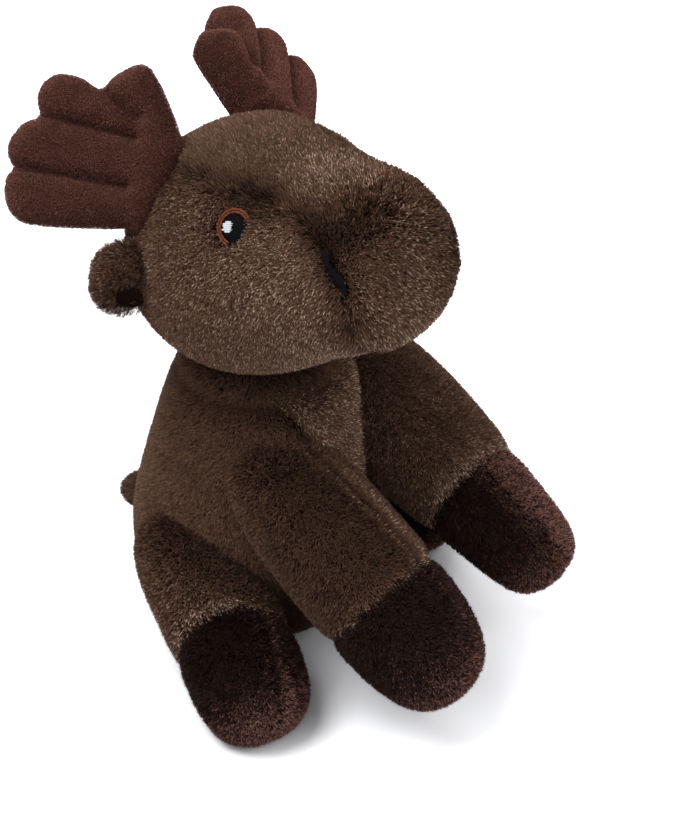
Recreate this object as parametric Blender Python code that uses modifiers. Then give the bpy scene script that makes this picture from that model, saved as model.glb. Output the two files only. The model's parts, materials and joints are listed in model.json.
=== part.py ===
"""Seated plush moose with a nodding, turning head, four swinging legs, soft antlers, ears and tail.

The toy faces -Y, its left side is +X and it sits on z = 0. Skins are open shells over solid
stuffing. Every soft form is a coarse cage of rings, rounded by Subdivision Surface.
"""

import math

import bmesh
import bpy
from mathutils import Matrix, Vector
from mathutils.bvhtree import BVHTree

for old in list(bpy.data.objects):
    bpy.data.objects.remove(old, do_unlink=True)

MM = 0.001
MERGE = 0.05 * MM

# Fabric and the room between solids
SKIN = 1.2 * MM
GAP = 0.3 * MM
SWING_GAP = 0.6 * MM
SEAT_PRESS = 0.5 * MM
OVERRUN = 40.0 * MM
FLOOR_REACH = 120.0 * MM

# Torso, from the seat to the neck
TORSO_HEIGHT = 69.5 * MM
TORSO_HALF_WIDTH = 26.0 * MM
TORSO_HALF_DEPTH = 27.5 * MM
TORSO_LEAN = 4.0 * MM
TORSO_SIDES = 12
# height, centre shift, half width and half depth, each a share of its own size
TORSO_RING_SHARES = (
    (0.02, 0.90, 0.62, 0.62),
    (0.09, 0.90, 0.90, 0.92),
    (0.30, 0.95, 1.02, 1.03),
    (0.56, 0.60, 0.97, 0.97),
    (0.80, 0.20, 0.90, 0.87),
    (0.94, 0.00, 0.72, 0.66),
    (1.00, 0.00, 0.36, 0.34),
)
PELLET_BAG_HEIGHT = 17.0 * MM

# Neck plug, whose middle is the pivot of the head
NECK_RADIUS = 12.0 * MM
NECK_HEIGHT = 62.0 * MM
NECK_SEGMENTS = 16
NECK_RINGS = 10

# Head, from the back of the skull to the tip of the muzzle
HEAD_RISE = 31.0 * MM
HEAD_TURN = -22.0
HEAD_LIFT = 15.0
HEAD_BACK = 23.0 * MM
HEAD_LENGTH = 71.0 * MM
SKULL_HALF_WIDTH = 26.5 * MM
SKULL_HALF_HEIGHT = 26.5 * MM
HEAD_SIDES = 12
# place along the head, rise, half width and half height, as shares
HEAD_RING_SHARES = (
    (0.00, 0.00, 0.34, 0.34),
    (0.06, 0.00, 0.70, 0.70),
    (0.18, 0.00, 0.95, 0.94),
    (0.34, 0.00, 1.02, 1.02),
    (0.52, 0.03, 0.87, 0.88),
    (0.68, 0.08, 0.74, 0.74),
    (0.84, 0.09, 0.73, 0.73),
    (0.96, 0.09, 0.56, 0.56),
    (1.00, 0.09, 0.28, 0.28),
)

# Legs: the middle of each joint, the start and the tip of the leg's own axis
FRONT_JOINT_BACK = 2.0 * MM
FRONT_JOINT_HEIGHT = 46.0 * MM
FRONT_START = (15.5 * MM, -1.0 * MM, 56.0 * MM)
FRONT_TIP = (21.5 * MM, -57.5 * MM, 14.5 * MM)
FRONT_RADIUS = 12.8 * MM
FRONT_SEAM_SHARE = 0.66
FRONT_SWING = (-8.0, 16.0)
HIND_JOINT_BACK = 4.0 * MM
HIND_JOINT_HEIGHT = 25.0 * MM
HIND_START = (16.0 * MM, 14.0 * MM, 32.0 * MM)
HIND_TIP = (40.0 * MM, -23.0 * MM, 8.0 * MM)
HIND_RADIUS = 14.5 * MM
HIND_SEAM_SHARE = 0.50
HIND_SWING = (-8.0, 15.0)
LEG_SIDES = 8
# place along the leg and radius, as shares
FRONT_RING_SHARES = (
    (0.00, 0.55), (0.06, 0.90), (0.26, 1.06), (0.50, 0.98), (0.72, 0.98), (0.90, 0.86), (1.00, 0.42),
)
HIND_RING_SHARES = (
    (0.00, 0.55), (0.07, 0.90), (0.28, 1.04), (0.52, 0.94), (0.74, 0.94), (0.91, 0.84), (1.00, 0.42),
)
# the left front leg lies this much higher than the right one
FRONT_RISE = {"right": 0.0, "left": 3.5 * MM}

# Antlers, in the head's own axes and for the left side: the root seam and the four lobes
ANTLER_ROOT = (14.0 * MM, 5.4 * MM, 19.6 * MM)
ANTLER_SEAM_DIRECTION = (0.670, 0.057, -0.739)
ANTLER_OUT_DIRECTION = (0.488, 0.717, 0.498)
ANTLER_SEAM_HALF = 9.0 * MM
ANTLER_SWING = (-15.0, 15.0)
ANTLER_SKIN = 0.9 * MM
PALM_HALF_LENGTH = 10.0 * MM
LOBE_LENGTH = 27.0 * MM
LOBE_HALF_WIDTH = 6.0 * MM
LOBE_HALF_THICKNESS = 3.5 * MM
LOBE_SEGMENTS = 10
LOBE_RINGS = 6
LOBE_TWIST_SHARE = 0.167
# root along the seam, turn in quarter turns, and length, as shares
LOBE_SHARES = ((-0.56, -0.47, 0.65), (-0.18, -0.13, 0.99), (0.18, 0.13, 1.04), (0.56, 0.354, 1.0))

# Ears, in the head's own axes and for the left side
EAR_ROOT = (24.4 * MM, 5.4 * MM, 1.4 * MM)
EAR_OUT_DIRECTION = (0.80, 0.45, 0.30)
EAR_WIDE_DIRECTION = (-0.25, -0.10, 1.00)
EAR_LENGTH = 9.0 * MM
EAR_HALF_WIDTH = 5.6 * MM
EAR_HALF_THICKNESS = 2.4 * MM
EAR_SIDES = 10
EAR_SINK = 2.0 * MM
EAR_SWING = (-15.0, 15.0)
# place along the ear, half width and half thickness, as shares
EAR_RING_SHARES = (
    (0.0, 0.75, 0.80), (0.20, 0.95, 1.00), (0.62, 1.00, 1.00), (0.90, 0.72, 0.75), (1.0, 0.38, 0.40),
)
HOLLOW_SHARES = (0.70, 0.80, 0.80)
HOLLOW_PLACE_SHARE = 0.52
HOLLOW_SEGMENTS = 14
HOLLOW_RINGS = 8

# Tail, low on the middle of the back
TAIL_HEIGHT = 21.5 * MM
TAIL_OUT_DIRECTION = (0.0, 0.80, -0.35)
TAIL_LENGTH = 5.5 * MM
TAIL_RADIUS = 3.6 * MM
TAIL_SINK = 2.5 * MM
TAIL_SIDES = 8
TAIL_SWING = (-15.0, 15.0)
TAIL_RING_SHARES = ((0.0, 0.80), (0.35, 1.00), (0.80, 0.80), (1.0, 0.40))

# Embroidery on the face, in the head's own axes and for the left side
EYE_PLACE = (16.8 * MM, -17.5 * MM, 13.0 * MM)
EYE_RING_RADIUS = 3.2 * MM
EYE_THREAD_RADIUS = 0.55 * MM
EYE_RING_START = -10.0
EYE_RING_TURN = 290.0
EYE_RING_POINTS = 16
PUPIL_RADIUS = 2.35 * MM
PUPIL_THICKNESS = 0.9 * MM
HIGHLIGHT_RADIUS = 1.0 * MM
HIGHLIGHT_SHIFT = 0.7 * MM
HIGHLIGHT_THICKNESS = 0.5 * MM
DISC_SEGMENTS = 12
DISC_RINGS = 5
# the upper and the lower end of the slash: place along the head and height, as shares
NOSTRIL_END_SHARES = ((0.872, 0.423), (0.927, 0.174))
NOSTRIL_BEND = 0.5 * MM
NOSTRIL_THREAD_RADIUS = 0.7 * MM
NOSTRIL_POINTS = 6

COLOURS = {
    "plush": ((0.056, 0.031, 0.022), 0.95),
    "hoof_plush": ((0.016, 0.0088, 0.0074), 0.95),
    "velour": ((0.053, 0.022, 0.017), 0.9),
    "stuffing": ((0.80, 0.80, 0.78), 0.9),
    "pellet_cloth": ((0.62, 0.60, 0.55), 0.85),
    "rust_thread": ((0.36, 0.11, 0.05), 0.6),
    "black_thread": ((0.010, 0.010, 0.012), 0.5),
    "white_thread": ((0.80, 0.82, 0.86), 0.5),
    "lining": ((0.020, 0.010, 0.008), 0.9),
}


def collection(name):
    """A collection of the scene, made once."""
    found = bpy.data.collections.get(name)
    if not found:
        found = bpy.data.collections.new(name)
        bpy.context.scene.collection.children.link(found)
    return found


def material(name):
    """A plain Principled material in the colour of that fabric or thread."""
    found = bpy.data.materials.get(name)
    if not found:
        found = bpy.data.materials.new(name)
        found.use_nodes = True
        shader = found.node_tree.nodes["Principled BSDF"]
        colour, roughness = COLOURS[name]
        shader.inputs["Base Color"].default_value = (*colour, 1.0)
        shader.inputs["Roughness"].default_value = roughness
        shader.inputs["Metallic"].default_value = 0.0
        found.diffuse_color = (*colour, 1.0)
    return found


def place(obj, fabric, parent, cutter=False):
    """Puts an object in its collection, gives it its fabric and hangs it on its joint."""
    for held in list(obj.users_collection):
        held.objects.unlink(obj)
    collection("cutters" if cutter else "plush_moose").objects.link(obj)
    obj.parent = parent
    if parent:
        obj.matrix_parent_inverse = parent.matrix_world.inverted()
    if cutter:
        obj.hide_render = True
        obj.display_type = "WIRE"
    elif fabric:
        obj.data.materials.clear()
        obj.data.materials.append(material(fabric))


def joint(name, where, parent=None):
    """An empty on a joint's axis."""
    empty = bpy.data.objects.new(name, None)
    collection("plush_moose").objects.link(empty)
    empty.location = where
    bpy.context.view_layer.update()
    empty.parent = parent
    if parent:
        empty.matrix_parent_inverse = parent.matrix_world.inverted()
    bpy.context.view_layer.update()
    return empty


def mesh_object(name, bm, matrix=None):
    """A smooth-shaded object from a bmesh, placed by a matrix."""
    bmesh.ops.recalc_face_normals(bm, faces=bm.faces)
    mesh = bpy.data.meshes.new(name)
    bm.to_mesh(mesh)
    bm.free()
    mesh.shade_smooth()
    obj = bpy.data.objects.new(name, mesh)
    collection("plush_moose").objects.link(obj)
    obj.matrix_world = matrix or Matrix.Identity(4)
    bpy.context.view_layer.update()
    return obj


def ring_form(name, rings, sides, matrix, inset=0.0):
    """A closed form through rings of place along Z, X, Y, half width and half depth, less an inset."""
    bm = bmesh.new()
    loops = []
    last = len(rings) - 1
    for number, (along, side, depth, half_x, half_y) in enumerate(rings):
        along += inset if number == 0 else -inset if number == last else 0.0
        spot = Matrix.Translation((side, depth, along))
        spot @= Matrix.Diagonal((max(half_x - inset, MERGE), max(half_y - inset, MERGE), 1.0, 1.0))
        closed = number in (0, last)
        made = bmesh.ops.create_circle(bm, cap_ends=closed, segments=sides, radius=1.0, matrix=spot)
        loops.append(made["verts"])
    for low, high in zip(loops, loops[1:]):
        edges = [e for e in bm.edges if all(v in low for v in e.verts) or all(v in high for v in e.verts)]
        bmesh.ops.bridge_loops(bm, edges=edges)
    obj = mesh_object(name, bm, matrix)
    smooth = obj.modifiers.new("rounding", "SUBSURF")
    smooth.levels = smooth.render_levels = 1
    return obj


def boolean(obj, cutter, operation="DIFFERENCE"):
    """Cuts one object with another, or joins it to the first."""
    cut = obj.modifiers.new(cutter.name, "BOOLEAN")
    cut.operation = operation
    cut.object = cutter
    cut.solver = "EXACT"


def box(name, low, high, matrix=None):
    """A box cutter between two corners."""
    bm = bmesh.new()
    bmesh.ops.create_cube(bm, size=1.0)
    low, high = Vector(low), Vector(high)
    bmesh.ops.scale(bm, vec=high - low, verts=bm.verts)
    bmesh.ops.translate(bm, vec=(low + high) / 2, verts=bm.verts)
    obj = mesh_object(name, bm, matrix)
    place(obj, None, toy, cutter=True)
    return obj


def ball(name, where, radius, segments, rings):
    """A sphere about a point."""
    bm = bmesh.new()
    bmesh.ops.create_uvsphere(bm, u_segments=segments, v_segments=rings, radius=radius)
    return mesh_object(name, bm, Matrix.Translation(where))


def evaluated_points(obj):
    """The corners of an object as its modifiers leave it, in world space."""
    bpy.context.view_layer.update()
    shape = obj.evaluated_get(bpy.context.evaluated_depsgraph_get())
    mesh = shape.to_mesh()
    points = [obj.matrix_world @ v.co for v in mesh.vertices]
    shape.to_mesh_clear()
    return points


def pressed_to_floor(obj):
    """The place of a form that reaches just under the floor, where the floor box then cuts it."""
    drop = min(p.z for p in evaluated_points(obj)) + SEAT_PRESS
    return Matrix.Translation((0, 0, -drop)) @ obj.matrix_world


def stuffed(name, form, fabric, parent, cutters, wall=SKIN):
    """A skin over a solid stuffing. The form makes either from a name and an inset; both are cut alike."""
    skin = form(f"{name}_skin", 0.0)
    inner = form(f"{name}_inner", wall)
    stuffing = form(f"{name}_stuffing", wall + GAP)
    place(inner, None, parent, cutter=True)
    boolean(skin, inner)
    for cutter in cutters:
        boolean(skin, cutter)
        boolean(stuffing, cutter)
    place(skin, fabric, parent)
    place(stuffing, "stuffing", parent)
    return skin, inner, stuffing


def clearance(name, reach, pivot, axis, swing):
    """What a swinging piece leaves free: its carrier seen from the piece, at rest and at both limits."""
    about = Matrix.Translation(pivot)
    whole = reach.copy()
    whole.name = name
    collection("cutters").objects.link(whole)
    for number, angle in enumerate(swing):
        turned = reach.copy()
        turned.name = f"{name}_{number}"
        collection("cutters").objects.link(turned)
        turn = Matrix.Rotation(-math.radians(angle), 4, Vector(axis))
        turned.matrix_world = about @ turn @ about.inverted() @ reach.matrix_world
        boolean(whole, turned, "UNION")
    bpy.context.view_layer.update()
    return whole


def upright(out, wide):
    """A turn with Z along out and X as near to wide as it can be."""
    out = Vector(out).normalized()
    wide = Vector(wide)
    wide = (wide - wide.dot(out) * out).normalized()
    return Matrix((wide, out.cross(wide), out)).transposed().to_4x4()


def mirrored(point, side):
    """A point given for the left side, put on the left (1) or the right (-1)."""
    return Vector((side * point[0], point[1], point[2]))


SIDES = (("right", -1), ("left", 1))
toy = joint("toy", (0, 0, 0))
floor = box("floor", (-FLOOR_REACH, -FLOOR_REACH, -OVERRUN), (FLOOR_REACH, FLOOR_REACH, 0))
neck_middle = Vector((0, 0, NECK_HEIGHT))
neck_socket = ball("neck_socket", neck_middle, NECK_RADIUS + GAP, NECK_SEGMENTS, NECK_RINGS)
place(neck_socket, None, toy, cutter=True)


# Torso
def torso_form(name, inset, matrix=None):
    """The torso's swelling form, standing on the floor."""
    rings = [
        (h * TORSO_HEIGHT, 0, c * TORSO_LEAN, w * TORSO_HALF_WIDTH, d * TORSO_HALF_DEPTH)
        for h, c, w, d in TORSO_RING_SHARES
    ]
    return ring_form(name, rings, TORSO_SIDES, matrix or torso_place, inset)


torso_reach = torso_form("torso_reach", 0.0, Matrix.Identity(4))
torso_place = pressed_to_floor(torso_reach)
bpy.data.objects.remove(torso_reach)
torso_reach = torso_form("torso_reach", -SWING_GAP)
place(torso_reach, None, toy, cutter=True)
torso_skin, torso_inner, torso_stuffing = stuffed("torso", torso_form, "plush", toy, [neck_socket])
boolean(torso_skin, floor)
bag_edge, top_edge = PELLET_BAG_HEIGHT, TORSO_HEIGHT + OVERRUN
above_bag = box("above_bag", (-OVERRUN, -OVERRUN, bag_edge), (OVERRUN, OVERRUN, top_edge))
below_bag = box("below_bag", (-OVERRUN, -OVERRUN, -OVERRUN), (OVERRUN, OVERRUN, bag_edge + GAP))
pellet_bag = torso_form("pellet_bag", SKIN + GAP)
boolean(torso_stuffing, below_bag)
boolean(pellet_bag, above_bag)
place(pellet_bag, "pellet_cloth", toy)

neck_joint = joint("neck_joint", neck_middle, toy)
neck_plug = ball("neck_plug", neck_middle, NECK_RADIUS, NECK_SEGMENTS, NECK_RINGS)
place(neck_plug, "plush", neck_joint)


# Legs
def leg(kind, side_name, start, tip, radius, ring_shares, seam_share, pivot, swing):
    """One leg: skin, hoof cover and stuffing, cut back from the torso for its whole swing."""
    name = f"{kind}_leg_{side_name}"
    length = (tip - start).length
    seam = seam_share * length
    rings = [(along * length, 0, 0, share * radius, share * radius) for along, share in ring_shares]
    matrix = Matrix.Translation(start) @ (tip - start).to_track_quat("Z", "Y").to_matrix().to_4x4()
    if kind == "hind":
        trial = ring_form(name, rings, LEG_SIDES, matrix)
        matrix = pressed_to_floor(trial)
        bpy.data.objects.remove(trial)

    def form(form_name, inset):
        return ring_form(form_name, rings, LEG_SIDES, matrix, inset)

    root = joint(f"{name}_joint", pivot, toy)
    free = clearance(f"{name}_clearance", torso_reach, pivot, (-1, 0, 0), swing)
    skin, inner, stuffing = stuffed(name, form, "plush", root, [free])
    low, high = Vector((-OVERRUN, -OVERRUN, seam)), Vector((OVERRUN, OVERRUN, seam + GAP))
    before = box(f"{name}_before_seam", (-OVERRUN, -OVERRUN, -OVERRUN), high, matrix)
    after = box(f"{name}_after_seam", low, (OVERRUN, OVERRUN, length + OVERRUN), matrix)
    boolean(skin, after)
    hoof = form(f"{kind}_hoof_{side_name}", 0.0)
    boolean(hoof, inner)
    boolean(hoof, before)
    boolean(hoof, free)
    if kind == "hind":
        boolean(skin, floor)
        boolean(hoof, floor)
    place(hoof, "hoof_plush", root)


for side_name, side in SIDES:
    rise = Vector((0, 0, FRONT_RISE[side_name]))
    leg(
        "front", side_name, mirrored(FRONT_START, side) + rise, mirrored(FRONT_TIP, side) + rise,
        FRONT_RADIUS, FRONT_RING_SHARES, FRONT_SEAM_SHARE,
        Vector((side * FRONT_START[0], FRONT_JOINT_BACK, FRONT_JOINT_HEIGHT)), FRONT_SWING,
    )
    leg(
        "hind", side_name, mirrored(HIND_START, side), mirrored(HIND_TIP, side),
        HIND_RADIUS, HIND_RING_SHARES, HIND_SEAM_SHARE,
        Vector((side * HIND_START[0], HIND_JOINT_BACK, HIND_JOINT_HEIGHT)), HIND_SWING,
    )

# Head, built about the middle of the skull and turned to its place
head_turn = Matrix.Rotation(math.radians(HEAD_TURN), 4, "Z")
head_turn @= Matrix.Rotation(-math.radians(HEAD_LIFT), 4, "X")
head_place = Matrix.Translation(neck_middle + Vector((0, 0, HEAD_RISE))) @ head_turn
head_joint = joint("head_joint", neck_middle, neck_joint)


def head_form(name, inset):
    """The skull and muzzle, with rings stacked from the back of the skull forward."""
    rings = [
        (a * HEAD_LENGTH - HEAD_BACK, 0, r * SKULL_HALF_HEIGHT, w * SKULL_HALF_WIDTH, h * SKULL_HALF_HEIGHT)
        for a, r, w, h in HEAD_RING_SHARES
    ]
    # the rings' +Z runs forward, which is the head's -Y, and their +Y runs up
    return ring_form(name, rings, HEAD_SIDES, head_place @ Matrix.Rotation(math.radians(90), 4, "X"), inset)


head_reach = head_form("head_reach", -SWING_GAP)
place(head_reach, None, head_joint, cutter=True)
head_skin, head_inner, head_stuffing = stuffed("head", head_form, "plush", head_joint, [])
head_shape = BVHTree.FromObject(head_reach, bpy.context.evaluated_depsgraph_get())
for piece in (head_skin, head_stuffing):
    boolean(piece, neck_socket)


def on_head(origin, direction):
    """Where a ray from inside the head, in the head's axes, leaves it, and the outward normal there."""
    to_form = head_reach.matrix_world.inverted() @ head_place
    start = to_form @ Vector(origin)
    ray = to_form.to_3x3() @ Vector(direction)
    spot, normal, _, _ = head_shape.ray_cast(start, ray.normalized())
    normal = (head_reach.matrix_world.to_3x3() @ normal).normalized()
    return head_reach.matrix_world @ spot - normal * (SWING_GAP - GAP), normal


def thread(name, points, radius, fabric):
    """A stitched line as a tube through world points."""
    curve = bpy.data.curves.new(name, "CURVE")
    curve.dimensions = "3D"
    curve.bevel_depth = radius
    curve.bevel_resolution = 1
    curve.use_fill_caps = True
    spline = curve.splines.new("POLY")
    spline.points.add(len(points) - 1)
    for slot, point in zip(spline.points, points):
        slot.co = (*point, 1.0)
    place(bpy.data.objects.new(name, curve), fabric, head_joint)


def stitched_disc(name, frame, radius, thickness, lift, fabric):
    """A low dome of satin stitch that lies on the face."""
    disc = ball(name, (0, 0, 0), 1.0, DISC_SEGMENTS, DISC_RINGS)
    disc.data.transform(Matrix.Diagonal((radius, radius, thickness / 2, 1)))
    disc.matrix_world = frame @ Matrix.Translation((0, 0, lift + thickness / 2))
    bpy.context.view_layer.update()
    place(disc, fabric, head_joint)


# Embroidery
def eye(side_name, side):
    """A ring of rust thread, open at the lower front, round a pupil with its highlight."""
    spot, normal = on_head((0, 0, 0), mirrored(EYE_PLACE, side))
    frame = Matrix.Translation(spot) @ upright(normal, Vector((0, 0, 1)).cross(normal))
    points = []
    for number in range(EYE_RING_POINTS):
        turn = math.radians(EYE_RING_START + EYE_RING_TURN * number / (EYE_RING_POINTS - 1))
        flat = Vector((-side * math.cos(turn), math.sin(turn), 0)) * EYE_RING_RADIUS
        points.append(frame @ (flat + Vector((0, 0, EYE_THREAD_RADIUS))))
    thread(f"eye_ring_{side_name}", points, EYE_THREAD_RADIUS, "rust_thread")
    stitched_disc(f"eye_pupil_{side_name}", frame, PUPIL_RADIUS, PUPIL_THICKNESS, 0, "black_thread")
    shine = frame @ Matrix.Translation((side * HIGHLIGHT_SHIFT, HIGHLIGHT_SHIFT, 0))
    stitched_disc(
        f"eye_highlight_{side_name}", shine, HIGHLIGHT_RADIUS, HIGHLIGHT_THICKNESS,
        PUPIL_THICKNESS + GAP, "white_thread",
    )


def nostril(side_name, side):
    """A slash of black thread on the side of the muzzle."""
    upper, lower = NOSTRIL_END_SHARES
    points = []
    for number in range(NOSTRIL_POINTS):
        share = number / (NOSTRIL_POINTS - 1)
        bend = NOSTRIL_BEND * math.sin(math.pi * share)
        along = HEAD_LENGTH * (upper[0] + (lower[0] - upper[0]) * share)
        forward = HEAD_BACK - along + bend
        height = SKULL_HALF_HEIGHT * (upper[1] + (lower[1] - upper[1]) * share)
        spot, normal = on_head((0, forward, height), (side, 0, 0))
        points.append(spot + normal * NOSTRIL_THREAD_RADIUS)
    thread(f"nostril_{side_name}", points, NOSTRIL_THREAD_RADIUS, "black_thread")


# Antlers
def antler_form(name, matrix, inset):
    """Four lobes and a palm joined into one body, with its root seam along X and its lobes along Z."""
    half_width, half_thickness = LOBE_HALF_WIDTH - inset, LOBE_HALF_THICKNESS - inset
    whole = ball(name, (0, 0, 0), 1.0, LOBE_SEGMENTS, LOBE_RINGS)
    palm = (ANTLER_SEAM_HALF - inset, half_thickness, PALM_HALF_LENGTH - inset)
    whole.data.transform(Matrix.Diagonal((*palm, 1)))
    whole.matrix_world = matrix @ Matrix.Translation((0, 0, PALM_HALF_LENGTH / 2))
    for number, (place_share, turn_share, length_share) in enumerate(LOBE_SHARES):
        length = length_share * LOBE_LENGTH
        lobe = ball(f"{name}_lobe_{number}", (0, 0, 0), 1.0, LOBE_SEGMENTS, LOBE_RINGS)
        # each lobe's facets start a little further round, so that no two lobes share an edge
        twist = math.tau / LOBE_SEGMENTS * LOBE_TWIST_SHARE * (number + 1)
        lobe.data.transform(Matrix.Rotation(twist, 4, "Z"))
        for vertex in lobe.data.vertices:
            # blunts the ends, so that the lobes are fingers and not eggs
            vertex.co.x *= math.sqrt(1 + vertex.co.z ** 2)
        lobe.data.transform(Matrix.Diagonal((half_width, half_thickness, length / 2 - inset, 1)))
        lobe.data.transform(Matrix.Translation((0, 0, length / 2)))
        turn = Matrix.Rotation(turn_share * math.pi / 2, 4, "Y")
        lobe.matrix_world = matrix @ Matrix.Translation((place_share * ANTLER_SEAM_HALF, 0, 0)) @ turn
        place(lobe, None, toy, cutter=True)
        boolean(whole, lobe, "UNION")
    bpy.context.view_layer.update()
    return whole


def antler(side_name, side):
    """One stuffed antler that folds forward and back along its root seam."""
    spot, _ = on_head((0, 0, 0), mirrored(ANTLER_ROOT, side))
    seam = head_turn.to_3x3() @ mirrored(ANTLER_SEAM_DIRECTION, side)
    out = head_turn.to_3x3() @ mirrored(ANTLER_OUT_DIRECTION, side)
    frame = Matrix.Translation(spot) @ upright(out, seam)
    root = joint(f"antler_{side_name}_joint", spot, head_joint)
    free = clearance(f"antler_{side_name}_clearance", head_reach, spot, seam.normalized(), ANTLER_SWING)
    stuffed(
        f"antler_{side_name}", lambda name, inset: antler_form(name, frame, inset), "velour", root, [free],
        wall=ANTLER_SKIN,
    )


# Ears
def ear(side_name, side):
    """One flap of fur with its lining in a hollow on the front."""
    spot, _ = on_head((0, 0, 0), mirrored(EAR_ROOT, side))
    out = head_turn.to_3x3() @ mirrored(EAR_OUT_DIRECTION, side)
    wide = head_turn.to_3x3() @ mirrored(EAR_WIDE_DIRECTION, side)
    turn = upright(out, wide)
    axis = turn.col[0].xyz
    frame = Matrix.Translation(spot) @ turn @ Matrix.Translation((0, 0, -EAR_SINK))
    length = EAR_LENGTH + EAR_SINK
    rings = [
        (a * length, 0, 0, w * EAR_HALF_WIDTH, t * EAR_HALF_THICKNESS) for a, w, t in EAR_RING_SHARES
    ]
    root = joint(f"ear_{side_name}_joint", spot, head_joint)
    free = clearance(f"ear_{side_name}_clearance", head_reach, spot, axis, EAR_SWING)
    # the front of the ear is the side that looks along the head
    front = -1 if turn.col[1].xyz.dot(head_turn.to_3x3() @ Vector((0, 1, 0))) > 0 else 1
    middle = Vector((0, front * EAR_HALF_THICKNESS, HOLLOW_PLACE_SHARE * length))

    def hollow(name, inset):
        bowl = ball(name, (0, 0, 0), 1.0, HOLLOW_SEGMENTS, HOLLOW_RINGS)
        wide_half, thick_half, long_half = HOLLOW_SHARES
        bowl.data.transform(Matrix.Diagonal((
            wide_half * EAR_HALF_WIDTH - inset, thick_half * EAR_HALF_THICKNESS - inset,
            long_half * EAR_LENGTH / 2 - inset, 1,
        )))
        bowl.matrix_world = frame @ Matrix.Translation(middle)
        bpy.context.view_layer.update()
        return bowl

    flap = ring_form(f"ear_{side_name}", rings, EAR_SIDES, frame)
    whole = ring_form(f"ear_{side_name}_whole", rings, EAR_SIDES, frame)
    cut = hollow(f"ear_{side_name}_hollow", 0.0)
    lining = hollow(f"ear_{side_name}_lining", GAP)
    boolean(flap, cut)
    boolean(flap, free)
    boolean(lining, whole, "INTERSECT")
    place(cut, None, root, cutter=True)
    place(whole, None, root, cutter=True)
    place(flap, "plush", root)
    place(lining, "lining", root)


for side_name, side in SIDES:
    eye(side_name, side)
    nostril(side_name, side)
    antler(side_name, side)
    ear(side_name, side)

# Tail
torso_shape = BVHTree.FromObject(torso_reach, bpy.context.evaluated_depsgraph_get())
to_torso = torso_place.inverted()
tail_spot = torso_place @ torso_shape.ray_cast(to_torso @ Vector((0, 0, TAIL_HEIGHT)), Vector((0, 1, 0)))[0]
tail_frame = Matrix.Translation(tail_spot) @ upright(TAIL_OUT_DIRECTION, (1, 0, 0))
tail_frame @= Matrix.Translation((0, 0, -TAIL_SINK))
tail_rings = [
    (a * (TAIL_LENGTH + TAIL_SINK), 0, 0, r * TAIL_RADIUS, r * TAIL_RADIUS) for a, r in TAIL_RING_SHARES
]
tail_joint = joint("tail_joint", tail_spot, toy)
tail = ring_form("tail", tail_rings, TAIL_SIDES, tail_frame)
boolean(tail, clearance("tail_clearance", torso_reach, tail_spot, (1, 0, 0), TAIL_SWING))
place(tail, "plush", tail_joint)

# The middle of the whole toy comes over the origin
bpy.context.view_layer.update()
pieces = [obj for obj in collection("plush_moose").objects if obj.type != "EMPTY"]
corners = [point for piece in pieces for point in evaluated_points(piece)]
toy.location.x = -(min(p.x for p in corners) + max(p.x for p in corners)) / 2
toy.location.y = -(min(p.y for p in corners) + max(p.y for p in corners)) / 2
bpy.context.view_layer.update()
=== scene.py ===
"""Looks of the seated plush moose: sewn plush skins with a grown pile, velour antlers and embroidery.

The toy faces -Y and its left side is +X. Each skin is a loft of a few rings, rounded by Subdivision
Surface and shaped along its seams. One node group grows the pile on every skin: it scatters strands,
leans them along the skin's comb attribute and gives each strand its own tone.
"""

import json
import math

import bmesh
import bpy
from mathutils import Matrix, Vector, kdtree
from mathutils.bvhtree import BVHTree


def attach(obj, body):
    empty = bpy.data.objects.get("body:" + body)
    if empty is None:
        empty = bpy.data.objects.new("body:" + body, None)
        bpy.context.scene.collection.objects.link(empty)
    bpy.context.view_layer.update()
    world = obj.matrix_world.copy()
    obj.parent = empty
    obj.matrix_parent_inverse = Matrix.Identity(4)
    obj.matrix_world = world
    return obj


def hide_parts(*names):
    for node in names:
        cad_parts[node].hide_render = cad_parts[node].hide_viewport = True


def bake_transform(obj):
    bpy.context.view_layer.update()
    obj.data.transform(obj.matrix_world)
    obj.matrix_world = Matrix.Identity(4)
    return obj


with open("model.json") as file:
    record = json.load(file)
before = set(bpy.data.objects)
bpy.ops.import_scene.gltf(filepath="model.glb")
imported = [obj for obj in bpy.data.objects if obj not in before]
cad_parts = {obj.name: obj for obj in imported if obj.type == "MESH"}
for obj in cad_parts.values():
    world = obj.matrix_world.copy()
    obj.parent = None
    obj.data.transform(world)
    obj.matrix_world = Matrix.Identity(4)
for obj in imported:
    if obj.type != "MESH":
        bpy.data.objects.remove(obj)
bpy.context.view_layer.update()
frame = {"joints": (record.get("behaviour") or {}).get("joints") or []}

MM = 0.001


def in_mm(*values):
    """Millimetres as metres."""
    return tuple(value * MM for value in values)


SIDES = (("right", -1), ("left", 1))
JOINTS = {joint["name"]: Vector(joint["pos_m"]) for joint in frame["joints"]}
NECK = JOINTS["head_turn"]
# the toy's own middle, from which the forms below are measured
TOY = Matrix.Translation((0, NECK.y, 0))
MIDDLE = TOY.translation.y

# Pile: how far a skin lies under the tips, and how long the strands are
BODY_DEPTH = 2.2 * MM
HOOF_DEPTH = 1.5 * MM
PLUSH_LENGTH = 2.3 * MM
HOOF_LENGTH = 2.1 * MM
# how far below its root a strand can hang where the skin is upright, as a share of its length
STRAY_DROP = 0.35
# a strand's root and the two corners of its tip, for a length and width of 1
STRAND_CORNERS = ((0.0, 0.0, 0.0), (0.20, -0.5, 0.86), (0.24, 0.5, 1.0))
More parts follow.
